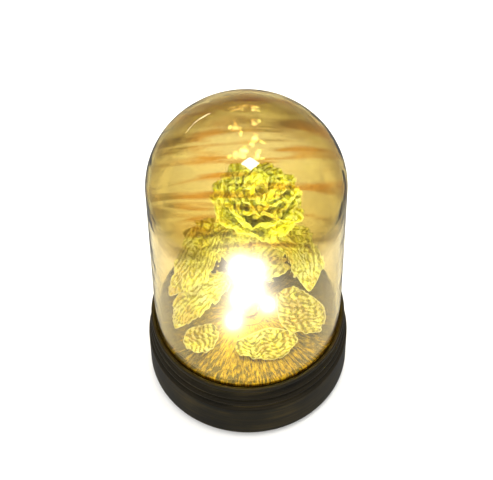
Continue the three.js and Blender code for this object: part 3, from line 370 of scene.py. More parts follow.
def blownGlass(add, place, looks):
    # the height's painted amber cast, with painted reflection streaks and painted shade at grazing angles in
    # the crown, tints a rough glass, smeared, that slow waves bend
    look = SimpleNamespace(**looks)
    split = add("SeparateXYZ", {0: place})
    # painted cast: pale at the foot, amber in the crown
    height = add("MapRange", {"from": (look.castBottom, look.castTop), "Value": (split, "Z")})
    cast = add("ValToRGB", {"stops": look.cast, 0: height})
    drawn = add("Mapping", {
        "vector_type": "TEXTURE", "Location": look.streakPlace,
        "Rotation": (math.radians(look.streakTilt), 0, 0), "Scale": look.streakSize,
        "Vector": place,
    })
    # painted reflections: slanted noise bands mix the streak colours into the crown's cast
    streak = add("TexNoise", {"Scale": 1.0, "Detail": 4.0, "Distortion": 0.6, "Vector": drawn})
    crownOnly = add("MapRange", {"from": (0.58, 0.74), "Value": height})
    amber = add("MapRange", {"from": (0.46, 0.6), "To Max": look.streakShare, "Value": streak})
    share = add("Math", {"operation": "MULTIPLY", 0: amber, 1: crownOnly})
    cloud = add("TexNoise", {"Scale": 30.0, "Detail": 2.0, "Vector": place})
    mist = add("ValToRGB", {"stops": look.streak, 0: cloud})
    streaked = add("Mix", {"data_type": "RGBA", 0: share, 6: cast, 7: mist})
    # painted shade: the tint turns to the edge colour where the crown is seen at a grazing angle
    grazing = add("LayerWeight", {"Blend": 0.45})
    deeper = add("Math", {"operation": "MULTIPLY", 0: (grazing, "Facing"), 1: crownOnly})
    tint = add("Mix", {"data_type": "RGBA", 7: look.edge, 0: deeper, 6: (streaked, 2)})
    smear = add("TexNoise", {"Scale": 1 / look.smearSize, "Detail": 3.0, "Vector": place})
    gloss = add("MapRange", {"from": (0.45, 0.75), "to": look.roughness, "Value": smear})
    wave = add("TexNoise", {
        "Scale": 1 / look.waveSize, "Detail": 1.5, "Distortion": 1.0, "Vector": place,
    })
    calmer = add("MapRange", {"from": (0.62, 0.82), "to": (0.22, 1.0), "Value": height})
    swell = add("Math", {"operation": "MULTIPLY", 0: wave, 1: calmer})
    bent = add("Bump", {"Strength": 0.3, "Distance": 0.0012, "Height": swell})
    glass = add("BsdfPrincipled", {
        "IOR": 1.52, "Transmission Weight": 1.0, "Base Color": (tint, 2), "Roughness": gloss,
        "Normal": bent,
    })
    clear = add("BsdfTransparent", {"Color": (tint, 2)})
    ray = add("LightPath")
    return add("MixShader", {0: (ray, "Is Shadow Ray"), 1: glass, 2: clear})


# Turned beech under a black-brown stain and satin lacquer: fine grain shows through as lighter streaks,
# and the stain is rubbed thin on the edges.
woodLooks = {
    "grainLength": 0.02,  # m, round the ring
    "grainWidth": 0.0011,
    "dark": "#0d0a02",
    "middle": "#1f1a05",
    "light": "#3c3110",
    "worn": "#1e1706",
    "roughness": (0.34, 0.5),
}


def stainedWood(add, place, looks):
    # a noise drawn out round the ring, with a slower one added, picks the stain's shade
    look = SimpleNamespace(**looks)
    stretch = look.grainWidth / look.grainLength
    grained = add("Mapping", {"Scale": (stretch, stretch, 1), "Vector": place})
    grain = add("TexNoise", {
        "Scale": 1 / look.grainWidth / 2, "Detail": 6.0, "Roughness": 0.6, "Distortion": 0.4,
        "Vector": grained,
    })
    blotch = add("TexNoise", {"Scale": 38.0, "Detail": 3.0, "Vector": place})
    both = add("Math", {"operation": "MULTIPLY_ADD", 1: 0.35, 0: blotch, 2: grain})
    stain = add("ValToRGB", {
        "stops": ((0.5, look.dark), (0.7, look.middle), (0.88, look.light)), 0: both,
    })
    edge = add("Attribute", {"attribute_name": "edgeWear"})
    rub = add("Math", {"operation": "MULTIPLY", 0: (edge, "Fac"), 1: both})
    rubbed = add("MapRange", {"from": (0.3, 0.75), "To Max": 0.8, "Value": rub})
    colour = add("Mix", {"data_type": "RGBA", 7: look.worn, 0: rubbed, 6: stain})
    more = {"IOR": 1.5, "Specular IOR Level": 0.3}
    return coated(add, (colour, 2), grain, look.roughness, grain, (0.35, 0.0003), more)


# Hardboard disc in a warm brown, with the lamps' light painted on it: streaks of bright gold light that all
# point at the stem, brightest in a pool towards the front.
deckLooks = {
    "streaks": 44.0,  # noise cells round a unit circle
    "gildedMiddle": (-0.004, 0.024, 0.0),  # m, less the place where the painted light is brightest
    "gilded": (0.012, 0.05),  # m from there, over which the painted light fades out
    "gildedShift": (0.11, -0.1),
    "brown": "#2b230d",
    # painted light: the orange, gold and bright stops are the lamps' light on the deck
    "orange": "#5f4d14",
    "gold": "#b8961c",
    "bright": "#e4c840",
}


def brushedBoard(add, place, looks):
    # noise on the direction from the middle alone makes the streaks of painted light, which fade out from one
    # place
    look = SimpleNamespace(**looks)
    flat = add("VectorMath", {"operation": "MULTIPLY", 1: (1, 1, 0), 0: place})
    way = add("VectorMath", {"operation": "NORMALIZE", 0: flat})
    out = add("VectorMath", {"operation": "LENGTH", 0: flat})
    shortened = add("Math", {"operation": "MULTIPLY", 1: 4.5, 0: (out, "Value")})
    lift = add("CombineXYZ", {"Z": shortened})
    fanned = add("VectorMath", {"operation": "ADD", 0: way, 1: lift})
    # painted light: streaks of the lamps' light that run out from the stem
    streak = add("TexNoise", {
        "Scale": look.streaks, "Detail": 4.0, "Roughness": 0.65, "Distortion": 0.5, "Vector": fanned,
    })
    speck = add("TexNoise", {"Scale": 420.0, "Detail": 3.0, "Vector": place})
    # painted light: brightest towards one place at the front, where the lamps' light falls
    fromGold = add("VectorMath", {"operation": "ADD", 1: look.gildedMiddle, 0: flat})
    away = add("VectorMath", {"operation": "LENGTH", 0: fromGold})
    thinning = add("MapRange", {"from": look.gilded, "to": look.gildedShift, "Value": (away, "Value")})
    shifted = add("Math", {"operation": "ADD", 0: streak, 1: thinning})
    blend = add("Math", {"operation": "MULTIPLY_ADD", 1: 0.3, 0: speck, 2: shifted})
    stops = ((0.52, look.brown), (0.66, look.orange), (0.76, look.gold), (0.88, look.bright))
    colour = add("ValToRGB", {"stops": stops, 0: blend})
    metal = add("MapRange", {"from": (0.62, 0.8), "To Max": 0.6, "Value": blend})
    return coated(add, colour, streak, (0.62, 0.34), blend, (0.6, 0.0006), {"Metallic": metal})


# Thin polyester film with vacuum-laid gold, crinkled by hand: bright facets, the brightest a painted
# highlight, with painted shade in its creases and hollows and a painted highlight on its rims and ridges.
# The gold is so thin that a lamp behind the film shines through it.
foilLooks = {
    "facetSize": 0.0028,  # m
    "foldSize": (0.0058, 0.0032),  # m, between neighbouring creases
    "foldWidth": 0.042,
    "grainSize": 0.0005,
    "patchSize": 0.009,
    "shade": 0.75,
    # painted shade in the creases and the relief's hollows
    "crease": "#908418",
    # painted highlight on the rims and ridges
    "rim": "#fffde0",
    # painted highlight: the brightest patches of the film
    "flash": "#fffff4",
    "shares": (0.5, 0.66, 0.8, 0.9),
    "deep": "#e8da3c",
    "gold": "#f7f758",
    "pale": "#fbfdb2",
    "roughness": (0.2, 0.42),
    "metallic": 0.12,
    "through": 0.65,
    "throughDepth": 0.002,  # m
}
leafLooks = {
    **foilLooks,
    "facetSize": 0.0034,
    "patchSize": 0.014,
    "shade": 0.82,
    "deep": "#e9c83a",
    "gold": "#f8f65e",
    "pale": "#fdfec4",
    "roughness": (0.26, 0.46),
    "metallic": 0.2,
    "through": 0.4,
}
# a darker copy of the leaf film: painted shade that tones down the petals lying close under the lamps
fallenLooks = {**leafLooks, "crease": "#6e5f0c", "deep": "#b2941c", "gold": "#cfcc40", "pale": "#ecec90"}


def giltFoil(add, place, looks):
    # two noises' zero lines are painted shade in the creases, cells the facets; the kinks paint shade in the
    # relief's hollows, and the rim and the ridges get a painted highlight
    look = SimpleNamespace(**looks)
    warp = add("TexNoise", {"Scale": 300.0, "Detail": 2.0, "Vector": place})
    nudge = add("VectorMath", {"operation": "SCALE", "Scale": 0.0007, 0: (warp, "Color")})
    bent = add("VectorMath", {"operation": "ADD", 0: place, 1: nudge})
    facet = add("TexVoronoi", {"Scale": 1 / look.facetSize, "Vector": bent})
    folds = []
    for size in look.foldSize:
        swell = add("TexNoise", {"Scale": 1 / size, "Detail": 0.6, "Distortion": 0.9, "Vector": bent})
        centred = add("Math", {"operation": "SUBTRACT", 1: 0.5, 0: swell})
        folds.append(add("Math", {"operation": "ABSOLUTE", 0: centred}))
    fold = add("Math", {"operation": "MINIMUM", 0: (folds[0], "Value"), 1: (folds[1], "Value")})
    grain = add("TexNoise", {"Scale": 1 / look.grainSize, "Detail": 2.0, "Vector": place})
    patch = add("TexNoise", {"Scale": 1 / look.patchSize, "Detail": 3.0, "Vector": place})
    tone = add("Math", {"operation": "MULTIPLY_ADD", 1: 0.3, 0: (facet, "Color"), 2: patch})
    # the brightest tones are the flash, a painted highlight
    gilt = add("ValToRGB", {
        "stops": tuple(zip(look.shares, (look.deep, look.gold, look.pale, look.flash))), 0: tone,
    })
    # painted shade: the noises' zero lines darken to the crease colour
    near = add("MapRange", {"From Max": look.foldWidth, "to": (0.85, 0.0), "Value": fold})
    creased = add("Mix", {"data_type": "RGBA", 7: look.crease, 0: near, 6: gilt})
    rim = add("Attribute", {"attribute_name": "rim"})
    kink = add("Attribute", {"attribute_name": "fold"})
    # painted shade in the relief's hollows, and a painted highlight on its ridges
    hollow = add("MapRange", {"from": (-0.1, -0.9), "To Max": look.shade, "Value": (kink, "Fac")})
    ridge = add("MapRange", {"from": (0.2, 0.9), "To Max": 0.4, "Value": (kink, "Fac")})
    lined = add("Mix", {"data_type": "RGBA", 7: look.crease, 0: hollow, 6: (creased, 2)})
    # painted highlight: the rim and the relief's ridges turn to the rim colour
    rubbed = add("MapRange", {"From Min": 0.3, "To Max": 0.75, "Value": (rim, "Fac")})
    worn = add("Math", {"operation": "MAXIMUM", 0: rubbed, 1: ridge})
    colour = add("Mix", {"data_type": "RGBA", 7: look.rim, 0: worn, 6: (lined, 2)})
    gloss = add("MapRange", {"to": look.roughness, "Value": patch})
    sharp = add("Bump", {"Strength": 0.9, "Distance": 0.006, "Height": fold})
    fine = add("Bump", {"Strength": 0.25, "Distance": 0.00015, "Height": grain, "Normal": sharp})
    return add("BsdfPrincipled", {
        "Metallic": look.metallic, "Coat Weight": 0.5, "Coat Roughness": 0.12,
        "Subsurface Weight": look.through, "Subsurface Radius": (1.0, 0.95, 0.6),
        "Subsurface Scale": look.throughDepth, "Base Color": (colour, 2),
        "Roughness": gloss, "Normal": fine,
    })


# Clear epoxy bead over a lit chip: so bright that only its warm white shows.
beadLooks = {"strength": 40.0}


def litEpoxy(add, place, looks):
    grain = add("TexNoise", {"Scale": 900.0, "Detail": 2.0, "Vector": place})
    glow = add("ValToRGB", {"stops": ((0.3, "#fff3b8"), (0.7, "#fffbe4")), 0: grain})
    return add("BsdfPrincipled", {
        "Base Color": "#f6f0d8", "Roughness": 0.12, "IOR": 1.52, "Emission Strength": looks["strength"],
        "Emission Color": glow,
    })


# The plainer finishes of the parts in and under the base. Each has two shades that a noise of a real size
# mixes, a bump of its own grain, and the gloss of the thing it is made of.
plainLooks = {  # dark, light, size of the grain in m, metal, roughness, strength and depth of the bump
    # copper wire drawn fine and enamelled: warm metal with tiny lighter rubs
    "enamelled_copper_wire": ("#8f4a1f", "#d08a4c", 0.0009, 0.9, (0.25, 0.42), (0.3, 0.00005)),
    # ABS moulded against spark-eroded steel: near black with a fine matt grain
    "moulded_black_abs": ("#0c0c0d", "#1d1d1f", 0.0007, 0.0, (0.42, 0.6), (0.5, 0.00008)),
    # spring steel with bright nickel: cold metal, lightly clouded
    "nickel_plated_steel": ("#8f8d86", "#cfccc4", 0.0012, 1.0, (0.18, 0.38), (0.25, 0.00004)),
    # neoprene pad, cut from sheet: dead matt and slightly open
    "black_neoprene_pad": ("#111112", "#26262a", 0.0009, 0.0, (0.78, 0.92), (0.7, 0.00015)),
    # soft PVC over stranded copper: even colour with a waxy gloss
    "red_pvc_insulation": ("#8e1510", "#c22a20", 0.0014, 0.0, (0.35, 0.5), (0.3, 0.00005)),
    "black_pvc_insulation": ("#101010", "#242424", 0.0014, 0.0, (0.35, 0.5), (0.3, 0.00005)),
    # brass bush under thin gold lacquer
    "lacquered_brass": ("#a67c22", "#e0bb55", 0.0016, 0.95, (0.2, 0.4), (0.3, 0.00006)),
}


def plainFinish(add, place, looks):
    dark, light, size, metallic, roughness, bump = looks
    grain = add("TexNoise", {"Scale": 1 / size, "Detail": 3.0, "Roughness": 0.6, "Vector": place})
    cloud = add("TexNoise", {"Scale": 90.0, "Detail": 3.0, "Vector": place})
    tone = add("Math", {"operation": "MULTIPLY_ADD", 1: 0.5, 0: cloud, 2: grain})
    colour = add("ValToRGB", {"stops": ((0.6, dark), (0.95, light)), 0: tone})
    return coated(add, colour, cloud, roughness, grain, bump, {"Metallic": metallic})


# Shrink film on a dry cell: a dark sleeve with one copper band, and bare steel past its ends.
cellLooks = {"middle": 0.0, "halfSleeve": 0.0205, "band": 0.0135}


def cellSleeve(add, place, looks):
    # distance from the cell's middle tells sleeve, band and bare steel apart
    look = SimpleNamespace(**looks)
    split = add("SeparateXYZ", {0: place})
    fromMiddle = add("Math", {"operation": "SUBTRACT", 1: look.middle, 0: (split, "X")})
    away = add("Math", {"operation": "ABSOLUTE", 0: fromMiddle})
    bare = add("Math", {"operation": "GREATER_THAN", 1: look.halfSleeve, 0: away})
    band = add("Math", {"operation": "GREATER_THAN", 1: look.band, 0: (split, "X")})
    scuff = add("TexNoise", {"Scale": 260.0, "Detail": 5.0, "Vector": place})
    film = add("ValToRGB", {"stops": ((0.35, "#14171c"), (0.75, "#2b3038")), 0: scuff})
    copper = add("ValToRGB", {"stops": ((0.35, "#9a5a26"), (0.75, "#c8864a")), 0: scuff})
    banded = add("Mix", {"data_type": "RGBA", 0: band, 6: film, 7: copper})
    colour = add("Mix", {"data_type": "RGBA", 7: "#b9b7b0", 0: bare, 6: (banded, 2)})
    return coated(add, (colour, 2), scuff, (0.2, 0.45), scuff, (0.2, 0.0001), {"Metallic": bare})


# Glass-fibre laminate under green solder mask: tracks show as lighter bands under the mask.
maskLooks = {"dark": "#1c5a33", "light": "#226a3c", "gap": "#0f3a20"}


def solderMask(add, place, looks):
    tracks = add("TexBrick", {
        "Scale": 160.0, "Mortar Size": 0.05, "Color1": looks["dark"], "Color2": looks["light"],
        "Mortar": looks["gap"], "Vector": place,
    })
    weave = add("TexNoise", {"Scale": 700.0, "Detail": 2.0, "Vector": place})
    return coated(add, tracks, weave, (0.25, 0.5), (tracks, "Fac"), (0.3, 0.0001))


glass = makeMaterial("blown_soda_lime_glass", blownGlass, glassLooks)
wood = makeMaterial("turned_beech_black_stain", stainedWood, woodLooks)
board = makeMaterial("hardboard_brushed_bronze", brushedBoard, deckLooks)
foil = makeMaterial("crinkled_gold_film", giltFoil, foilLooks)
leafFoil = makeMaterial("embossed_gold_leaf_film", giltFoil, leafLooks)
fallenFoil = makeMaterial("creased_gold_petal_film", giltFoil, fallenLooks)
epoxy = makeMaterial("clear_epoxy_bead_lit", litEpoxy, beadLooks)
epoxy.cycles.emission_sampling = "NONE"  # the round lights by the beads give their light
sleeve = makeMaterial("dry_cell_shrink_film", cellSleeve, cellLooks)
mask = makeMaterial("glass_fibre_board_green_mask", solderMask, maskLooks)
plain = {name: makeMaterial(name, plainFinish, looks) for name, looks in plainLooks.items()}
print("materials made")


# Base: a turned wooden ring

base = {  # mm
    "segments": 200,
    "arcStep": 12,  # degrees
    "stretch": 1.5,  # the longest that a straight one stays undivided
    "stand": 1.5,  # height of the feet under it
    "radius": 55.0,
    "footRound": 3.0,
    "shoulderRound": 1.6,
    "bodyTop": 28.0,
    "grooveRadius": 52.3,
    "lowerBead": (29.4, 33.0, 54.1),  # from, to, out to
    "upperBead": (34.4, 38.0, 53.4),
    "quirk": 0.35,  # flat beside each bead
    "coveRadius": 51.4,
    "coveEdge": 0.4,
    "lipBottom": 42.0,
    "lipRadius": 53.0,
    "lipRound": 0.8,
    "ledge": 45.0,
    "seatOuter": 51.15,
    "seatBevel": 0.3,
    "seatBottom": 42.0,
    "cavityTop": 36.0,
    "cavityRadius": 43.0,
    "shelfRadius": 48.0,
    "shelfHeight": 6.0,
    "socketHole": 4.4,
}


def bend(centre, radii, start, end, step):
    # points on an ellipse about centre, from the start angle to the end angle in degrees
    count = max(2, int(abs(end - start) / step) + 1)
    angle = np.radians(np.linspace(start, end, count))
    return np.stack([centre[0] + radii[0] * np.cos(angle), centre[1] + radii[1] * np.sin(angle)], -1)


def woodenRing(sizes):
    # from the foot up the outside, over the lip, down into the glass's groove and back through the hollow
    s = SimpleNamespace(**sizes)
    foot, shoulder, lip, groove = s.footRound, s.shoulderRound, s.lipRound, s.grooveRadius
    parts = [
        bend((s.radius - foot, s.stand + foot), (foot, foot), -90, 0, s.arcStep),
        bend((s.radius - shoulder, s.bodyTop - shoulder), (shoulder, shoulder), 0, 90, s.arcStep),
    ]
    for low, high, out in (s.lowerBead, s.upperBead):
        bead = bend((groove, (low + high) / 2), (out - groove, (high - low) / 2), -90, 90, s.arcStep)
        parts += [[[groove, low - s.quirk]], bead, [[groove, high + s.quirk]]]
    cove = (s.lipBottom - s.upperBead[1]) / 2
    coveRadii = (groove - s.coveRadius, cove - s.coveEdge)
    parts += [
        bend((groove, s.upperBead[1] + cove), coveRadii, 270, 90, s.arcStep),
        bend((s.lipRadius - lip, s.lipBottom + lip), (lip, lip), -90, 0, s.arcStep),
        bend((s.lipRadius - lip, s.ledge - lip), (lip, lip), 0, 90, s.arcStep),
        [[s.seatOuter + s.seatBevel, s.ledge], [s.seatOuter, s.ledge - s.seatBevel]],
        [[s.seatOuter, s.seatBottom], [s.socketHole, s.seatBottom], [s.socketHole, s.cavityTop]],
        [[s.cavityRadius, s.cavityTop], [s.cavityRadius, s.shelfHeight], [s.shelfRadius, s.shelfHeight]],
        [[s.shelfRadius, s.stand]],
    ]
    return np.vstack(parts)


def refined(profile, longest):
    # the profile with its long straight stretches divided, so that the wear has points to hold on to
    out = []
    for a, b in zip(profile, np.roll(profile, -1, 0)):
        count = max(1, int(np.linalg.norm(b - a) / longest))
        out.append(a + (b - a) * np.linspace(0, 1, count, endpoint=False)[:, None])
    return np.vstack(out)


def convexity(profile):
    # how sharply the profile turns outwards at each point, spread a little to both sides
    ahead, behind = np.roll(profile, -1, 0) - profile, profile - np.roll(profile, 1, 0)
    turn = np.arctan2(
        behind[:, 0] * ahead[:, 1] - behind[:, 1] * ahead[:, 0], np.einsum("ij,ij->i", ahead, behind)
    )
    wear = np.clip(turn / 0.2, 0, 1)
    return np.maximum(wear, 0.5 * np.maximum(np.roll(wear, 1), np.roll(wear, -1)))


ringProfile = refined(woodenRing(base), base["stretch"])
ringWear = np.repeat(convexity(ringProfile), base["segments"])
ring = putPiece("turned_base_ring", [turned(ringProfile, base["segments"])], wood, {"edgeWear": ringWear})
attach(ring, "base")
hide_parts("base_ring")
print("base made")


# Jar: blown glass with a straight wall, an elliptical crown and a fire-rounded rim

jar = {  # mm
    "segments": 192,
    "radius": 50.75,
    "wall": 2.0,
    "rim": 42.3,
    "rimRound": 0.6,
    "springing": 155.0,
    "crownHeight": 45.0,
    "crownSteps": 44,
    "wallSteps": 24,
    "rimStep": 15,  # degrees
}


def bellProfile(sizes):
    # down the outside from the crown's pole, round the rim and up the inside to the pole again
    s = SimpleNamespace(**sizes)
    inside, edge, low = s.radius - s.wall, s.rimRound, s.rim + s.rimRound
    angle = np.linspace(np.pi / 2, 0, s.crownSteps)[:, None]
    quarter = np.concatenate([np.cos(angle), np.sin(angle)], 1)
    crown, inner = [s.radius, s.crownHeight] * quarter, [inside, s.crownHeight - s.wall] * quarter
    height = np.linspace(s.springing, low, s.wallSteps)[1:-1, None]
    outerWall = np.concatenate([np.full_like(height, s.radius), height], 1)
    innerWall = np.concatenate([np.full_like(height, inside), height[::-1]], 1)
    outerRim = bend((s.radius - edge, low), (edge, edge), 0, -90, s.rimStep)
    innerRim = bend((inside + edge, low), (edge, edge), -90, -180, s.rimStep)
    lift = [0, s.springing]
    profile = np.vstack([crown + lift, outerWall, outerRim, innerRim, innerWall, inner[::-1] + lift])
    profile[[0, -1], 0] = 0
    return profile


bell = putPiece("glass_bell", [turned(bellProfile(jar), jar["segments"])], glass)
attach(bell, "jar")
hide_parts("jar_glass")
print("jar made")


# Stem, bush and hip

stem = {
    "deckTop": 45.2,
    "foot": -11.7,
    "radius": 1.6,
    "straight": 64.0,
    "bendHeight": 9.0,
    "neck": 6.0,
    "tilt": 11.0,
    "turn": -15.0,
    "sides": 28,
    "steps": (150, 24, 14),  # up the straight, round the bend and along the neck
    "tipGap": 0.05,
    "wrapPitch": 3.2,  # mm between turns of the film wound round it
    "wrapDepth": 0.14,
}
flower = {
    "hipHeight": 11.0,
    "hipRadius": 5.0,
    "hipMiddle": -5.6,
    "hipHalf": 5.1,
    "hipBore": 1.85,
    "hipRibs": 5,
    "ribDepth": 0.05,
    "neckRadius": 3.0,
    "restGap": 0.3,
    "pinRadius": 1.2,
    "pinTop": 12.6,
}

tilt, turnAngle = math.radians(stem["tilt"]), math.radians(stem["turn"])
neckAim = polar(math.sin(tilt), turnAngle, math.cos(tilt))
bendTop = np.array([*neckAim[:2] * stem["bendHeight"] / 2, stem["straight"] + stem["bendHeight"]])
stemTop = bendTop + neckAim * stem["neck"]
deckLift = np.array([0, 0, stem["deckTop"]])
flowerOrigin = stemTop + neckAim * (flower["hipHeight"] - stem["neck"] + flower["restGap"]) + deckLift
flowerTurn = turnTo(neckAim)


def inFlower(points):
    # from the flower's own frame, whose Z is the neck's line, to the lamp's
    return points @ flowerTurn.T + flowerOrigin


def onFlower(parts):
    # parts with their points in the lamp's frame
    return [(inFlower(points), *rest) for points, *rest in parts]


def stemPath(sizes):
    # straight up, over on a parabola between the upright and the neck's line, and out along the neck
    s = SimpleNamespace(**sizes)
    straight, bent, onward = s.steps
    rise = np.linspace([0, 0, s.foot], [0, 0, s.straight], straight)
    t = np.linspace(0, 1, bent)[1:, None]
    start = np.array([0, 0, s.straight])
    control = start + [0, 0, s.bendHeight / 2]
    turn = (1 - t) ** 2 * start + 2 * t * (1 - t) * control + t**2 * bendTop
    neck = bendTop + neckAim * np.linspace(0, s.neck - s.tipGap, onward)[1:, None]
    return np.vstack([rise, turn, neck]) + deckLift


path = stemPath(stem)
around = np.linspace(0, 1, stem["sides"], endpoint=False)[None, :]
lap = (path[:, 2:] / stem["wrapPitch"] + around) % 1
wrapped = stem["radius"] + stem["wrapDepth"] * (lap - 1)
stalk = putPiece("film_wound_stem", [swept(path, wrapped, stem["sides"], (0.3, 1, 0))], foil)
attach(stalk, "base")
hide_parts("rose_stem")


def ribbedHip(sizes):
    # up the socket, out over the ball and up the pin; the ball's radius swells with a cosine of the angle
    s = SimpleNamespace(**sizes)
    socket = [[0, -4.9], [s.hipBore, -4.9], [s.hipBore, -s.hipHeight], [s.neckRadius - 0.3, -s.hipHeight]]
    ball = bend((s.neckRadius, s.hipMiddle), (s.hipRadius - s.neckRadius, s.hipHalf), -80, 80, 10)
    pin = [[1.5, -0.35], [s.pinRadius, -0.1], [s.pinRadius, s.pinTop - 0.4], [0.7, s.pinTop], [0, s.pinTop]]
    points, faces = turned(np.vstack([socket, ball, pin]), 48)
    swirl, out = np.arctan2(points[:, 1], points[:, 0]), np.hypot(points[:, 0], points[:, 1])
    points[:, :2] *= 1 + s.ribDepth * (np.cos(s.hipRibs * swirl) * smoothShare(3, 4.8, out))[:, None]
    return points, faces


hip = putPiece("ribbed_hip", onFlower([ribbedHip(flower)]), foil)
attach(hip, "base")
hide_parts("rose_hip")

# radius and height in mm, from the bore's foot round the outside
bushProfile = [[1.85, 33.5], [3.7, 33.5], [4.0, 33.8], [4.0, 45.5], [5.6, 45.5], [6.0, 45.8], [5.9, 46.1]]
bushProfile += [[4.6, 46.5], [3.2, 46.7], [2.2, 46.7], [1.85, 46.4]]
bush = putPiece("stem_bush", [turned(bushProfile, 64)], plain["lacquered_brass"])
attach(bush, "base")
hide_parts("stem_socket")
print("stem made")


# Bloom: five nested layers of crinkled petals and a rolled heart

petals = {
    "rows": 64,
    "columns": 56,
    "film": 0.34,
    "bore": 1.45,
    "hubRadius": 3.9,
    "hubThickness": 0.8,
    "hubInset": 0.15,
    "hubBevel": 0.2,
    "hubSides": 36,
    "rootRadius": 3.2,
    "spiral": 0.85,
    "heartRadius": 6.9,
    "layerStep": 3.0,
    "height": 23.0,
    "flare": 2.6,
    "flareStart": 0.68,
    "unevenness": 0.04,
    "droop": 5.0,
    "overlap": 1.24,
    "turnShare": 0.37,
    "rollStart": 0.9,
    "rollRadius": 1.15,
    "rollTurn": 205.0,
    "rollShares": (0.85, 0.25),  # of that turn, steady and waving over the width
    "ruffle": 0.55,
    "ruffleStart": 0.55,
    "ruffleWaves": (9, 15),
    "fineRuffle": 0.6,
    "smoothRoot": (0.03, 0.3),  # shares of the length between which the creases grow
    "creases": ((9.0, 0.1), (6.0, 0.16), (4.2, 0.22), (3.1, 0.26), (2.4, 0.24)),  # mm, slope
}
layers = [  # name, petals, height, flare and droop as shares of the above
    ("petals_heart", 3, 0.957, 0.15, 0.5),
    ("petals_inner", 4, 1.0, 0.25, 0.7),
    ("petals_middle", 5, 0.957, 0.35, 0.9),
    ("petals_outer", 5, 0.87, 0.58, 1.0),
    ("petals_guard", 5, 0.717, 1.0, 1.0),
]
layerPitch = petals["hubThickness"] + flower["restGap"]


def hubHeight(place):
    # the middle of a layer's hub, one pitch above the middle of the hub below
    return place * layerPitch + layerPitch / 2


def petalWidth(along):
    # narrow at the root, full by two thirds, and drawn in at the tip
    gain = 0.55 * np.sin(np.pi * np.minimum(0.5, 0.8 * along))
    return 0.45 + gain - 0.22 * smoothShare(0.65, 1, along)


def petal(sizes, order, index, count, tall, flare, droop):
    # a quarter of an ellipse rises from the hub and goes round it by a share of the circle; its leading
    # edge stands outside its trailing edge, its tip rolls over outwards, and creases run all over it
    s = SimpleNamespace(**sizes)
    along, across = sheetGrid(s.rows, s.columns)
    roll = np.clip((along - s.rollStart) / (1 - s.rollStart), 0, 1)
    climb = np.minimum(along / s.rollStart, 1)
    rise = climb * np.pi / 2
    full = s.heartRadius + s.layerStep * order
    turn = 2 * np.pi * (index + order * s.turnShare) / count
    angle = turn + np.pi / count * s.overlap * petalWidth(along) * across
    radius = s.rootRadius + (full - s.rootRadius) * np.sin(rise)
    radius = radius + s.spiral * np.sin(rise) * across
    radius = radius + s.flare * flare * smoothShare(s.flareStart, 1, climb)
    uneven = 1 + s.unevenness * math.sin(2 * index + order)
    height = (s.height * tall - s.rollRadius) * (1 - np.cos(rise)) * uneven
    height = height - s.droop * droop * across**2 * climb**2
    steady, waving = s.rollShares
    curl = np.radians(s.rollTurn) * roll * (steady + waving * np.cos(3 * across + index))
    radius = radius + s.rollRadius * (1 - np.cos(curl))
    height = height + s.rollRadius * np.sin(curl)
    coarse, fine = s.ruffleWaves
    wave = np.sin(coarse * across + 2.3 * index + order) + s.fineRuffle * np.sin(fine * across - index)
    radius = radius + s.ruffle * wave * smoothShare(s.ruffleStart, 1, climb)
    place = len(layers) - order
    surface = polar(radius, angle, hubHeight(place) + height)
    wide, high = across * np.pi / count * full, along * (full + s.height * tall) * 0.8
    dents = crumple(wide, high, s.creases, 31 * order + 7 * index + 1)
    depth = dents * smoothShare(*s.smoothRoot, along)
    return shell(raised(surface, depth), s.film, depth)


for order, (name, count, *shares) in enumerate(layers):
    place = len(layers) - order
    middle, half = hubHeight(place), petals["hubThickness"] / 2
    inset, bevel = petals["hubInset"], petals["hubBevel"]
    hub = collar(petals["bore"], petals["hubRadius"], middle - half, middle + half, inset, bevel)
    parts = [turned(hub, petals["hubSides"])]
    parts += [petal(petals, order, index, count, *shares) for index in range(count)]
    layer = putPiece("gilt_" + name, onFlower(parts), foil)
    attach(layer, "base")
    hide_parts(name)

scroll = {
    "rows": 56,
    "columns": 150,
    "start": 1.75,
    "pitch": 1.1,
    "turns": 1.75,
    "height": 19.0,
    "closing": 0.15,
    "shortening": 0.12,
    "film": 0.3,
    "creases": ((4.0, 0.07), (2.6, 0.1)),
    "collarRadius": 3.2,
    "collarHeight": 1.6,
}


def rolledStrip(sizes, foot):
    # a spiral in plan that winds out with the turn and closes a little with height
    s = SimpleNamespace(**sizes)
    along = np.linspace(0, 1, s.rows)[:, None]
    turn = np.linspace(0, s.turns, s.columns)[None, :]
    radius = s.start + s.pitch * turn * (1 - s.closing * along**2)
    angle = 2 * np.pi * turn
    height = s.height * along * (1 - s.shortening * turn / s.turns)
    surface = polar(radius, angle, foot + height)
    dents = crumple(radius * angle, height, s.creases, 5)
    depth = 0.5 * dents - 0.5 * smoothShare(0.86, 1, along) ** 2
    return shell(raised(surface, depth), s.film, depth)


stackTop = (len(layers) + 1) * layerPitch
low = stackTop + flower["restGap"]
heartCollar = collar(petals["bore"], scroll["collarRadius"], low, low + scroll["collarHeight"], 0.1, 0.2)
heartParts = [rolledStrip(scroll, stackTop + 1.1), turned(heartCollar, petals["hubSides"])]
heart = putPiece("rolled_heart", onFlower(heartParts), foil)
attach(heart, "base")
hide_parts("heart_scroll")

sepals = {
    "count": 5,
    "rows": 40,
    "columns": 20,
    "root": 3.2,
    "length": 15.0,
    "width": 7.0,
    "droop": 5.0,
    "fold": 0.35,
    "film": 0.34,
    "creases": ((4.0, 0.08), (2.5, 0.12)),
}


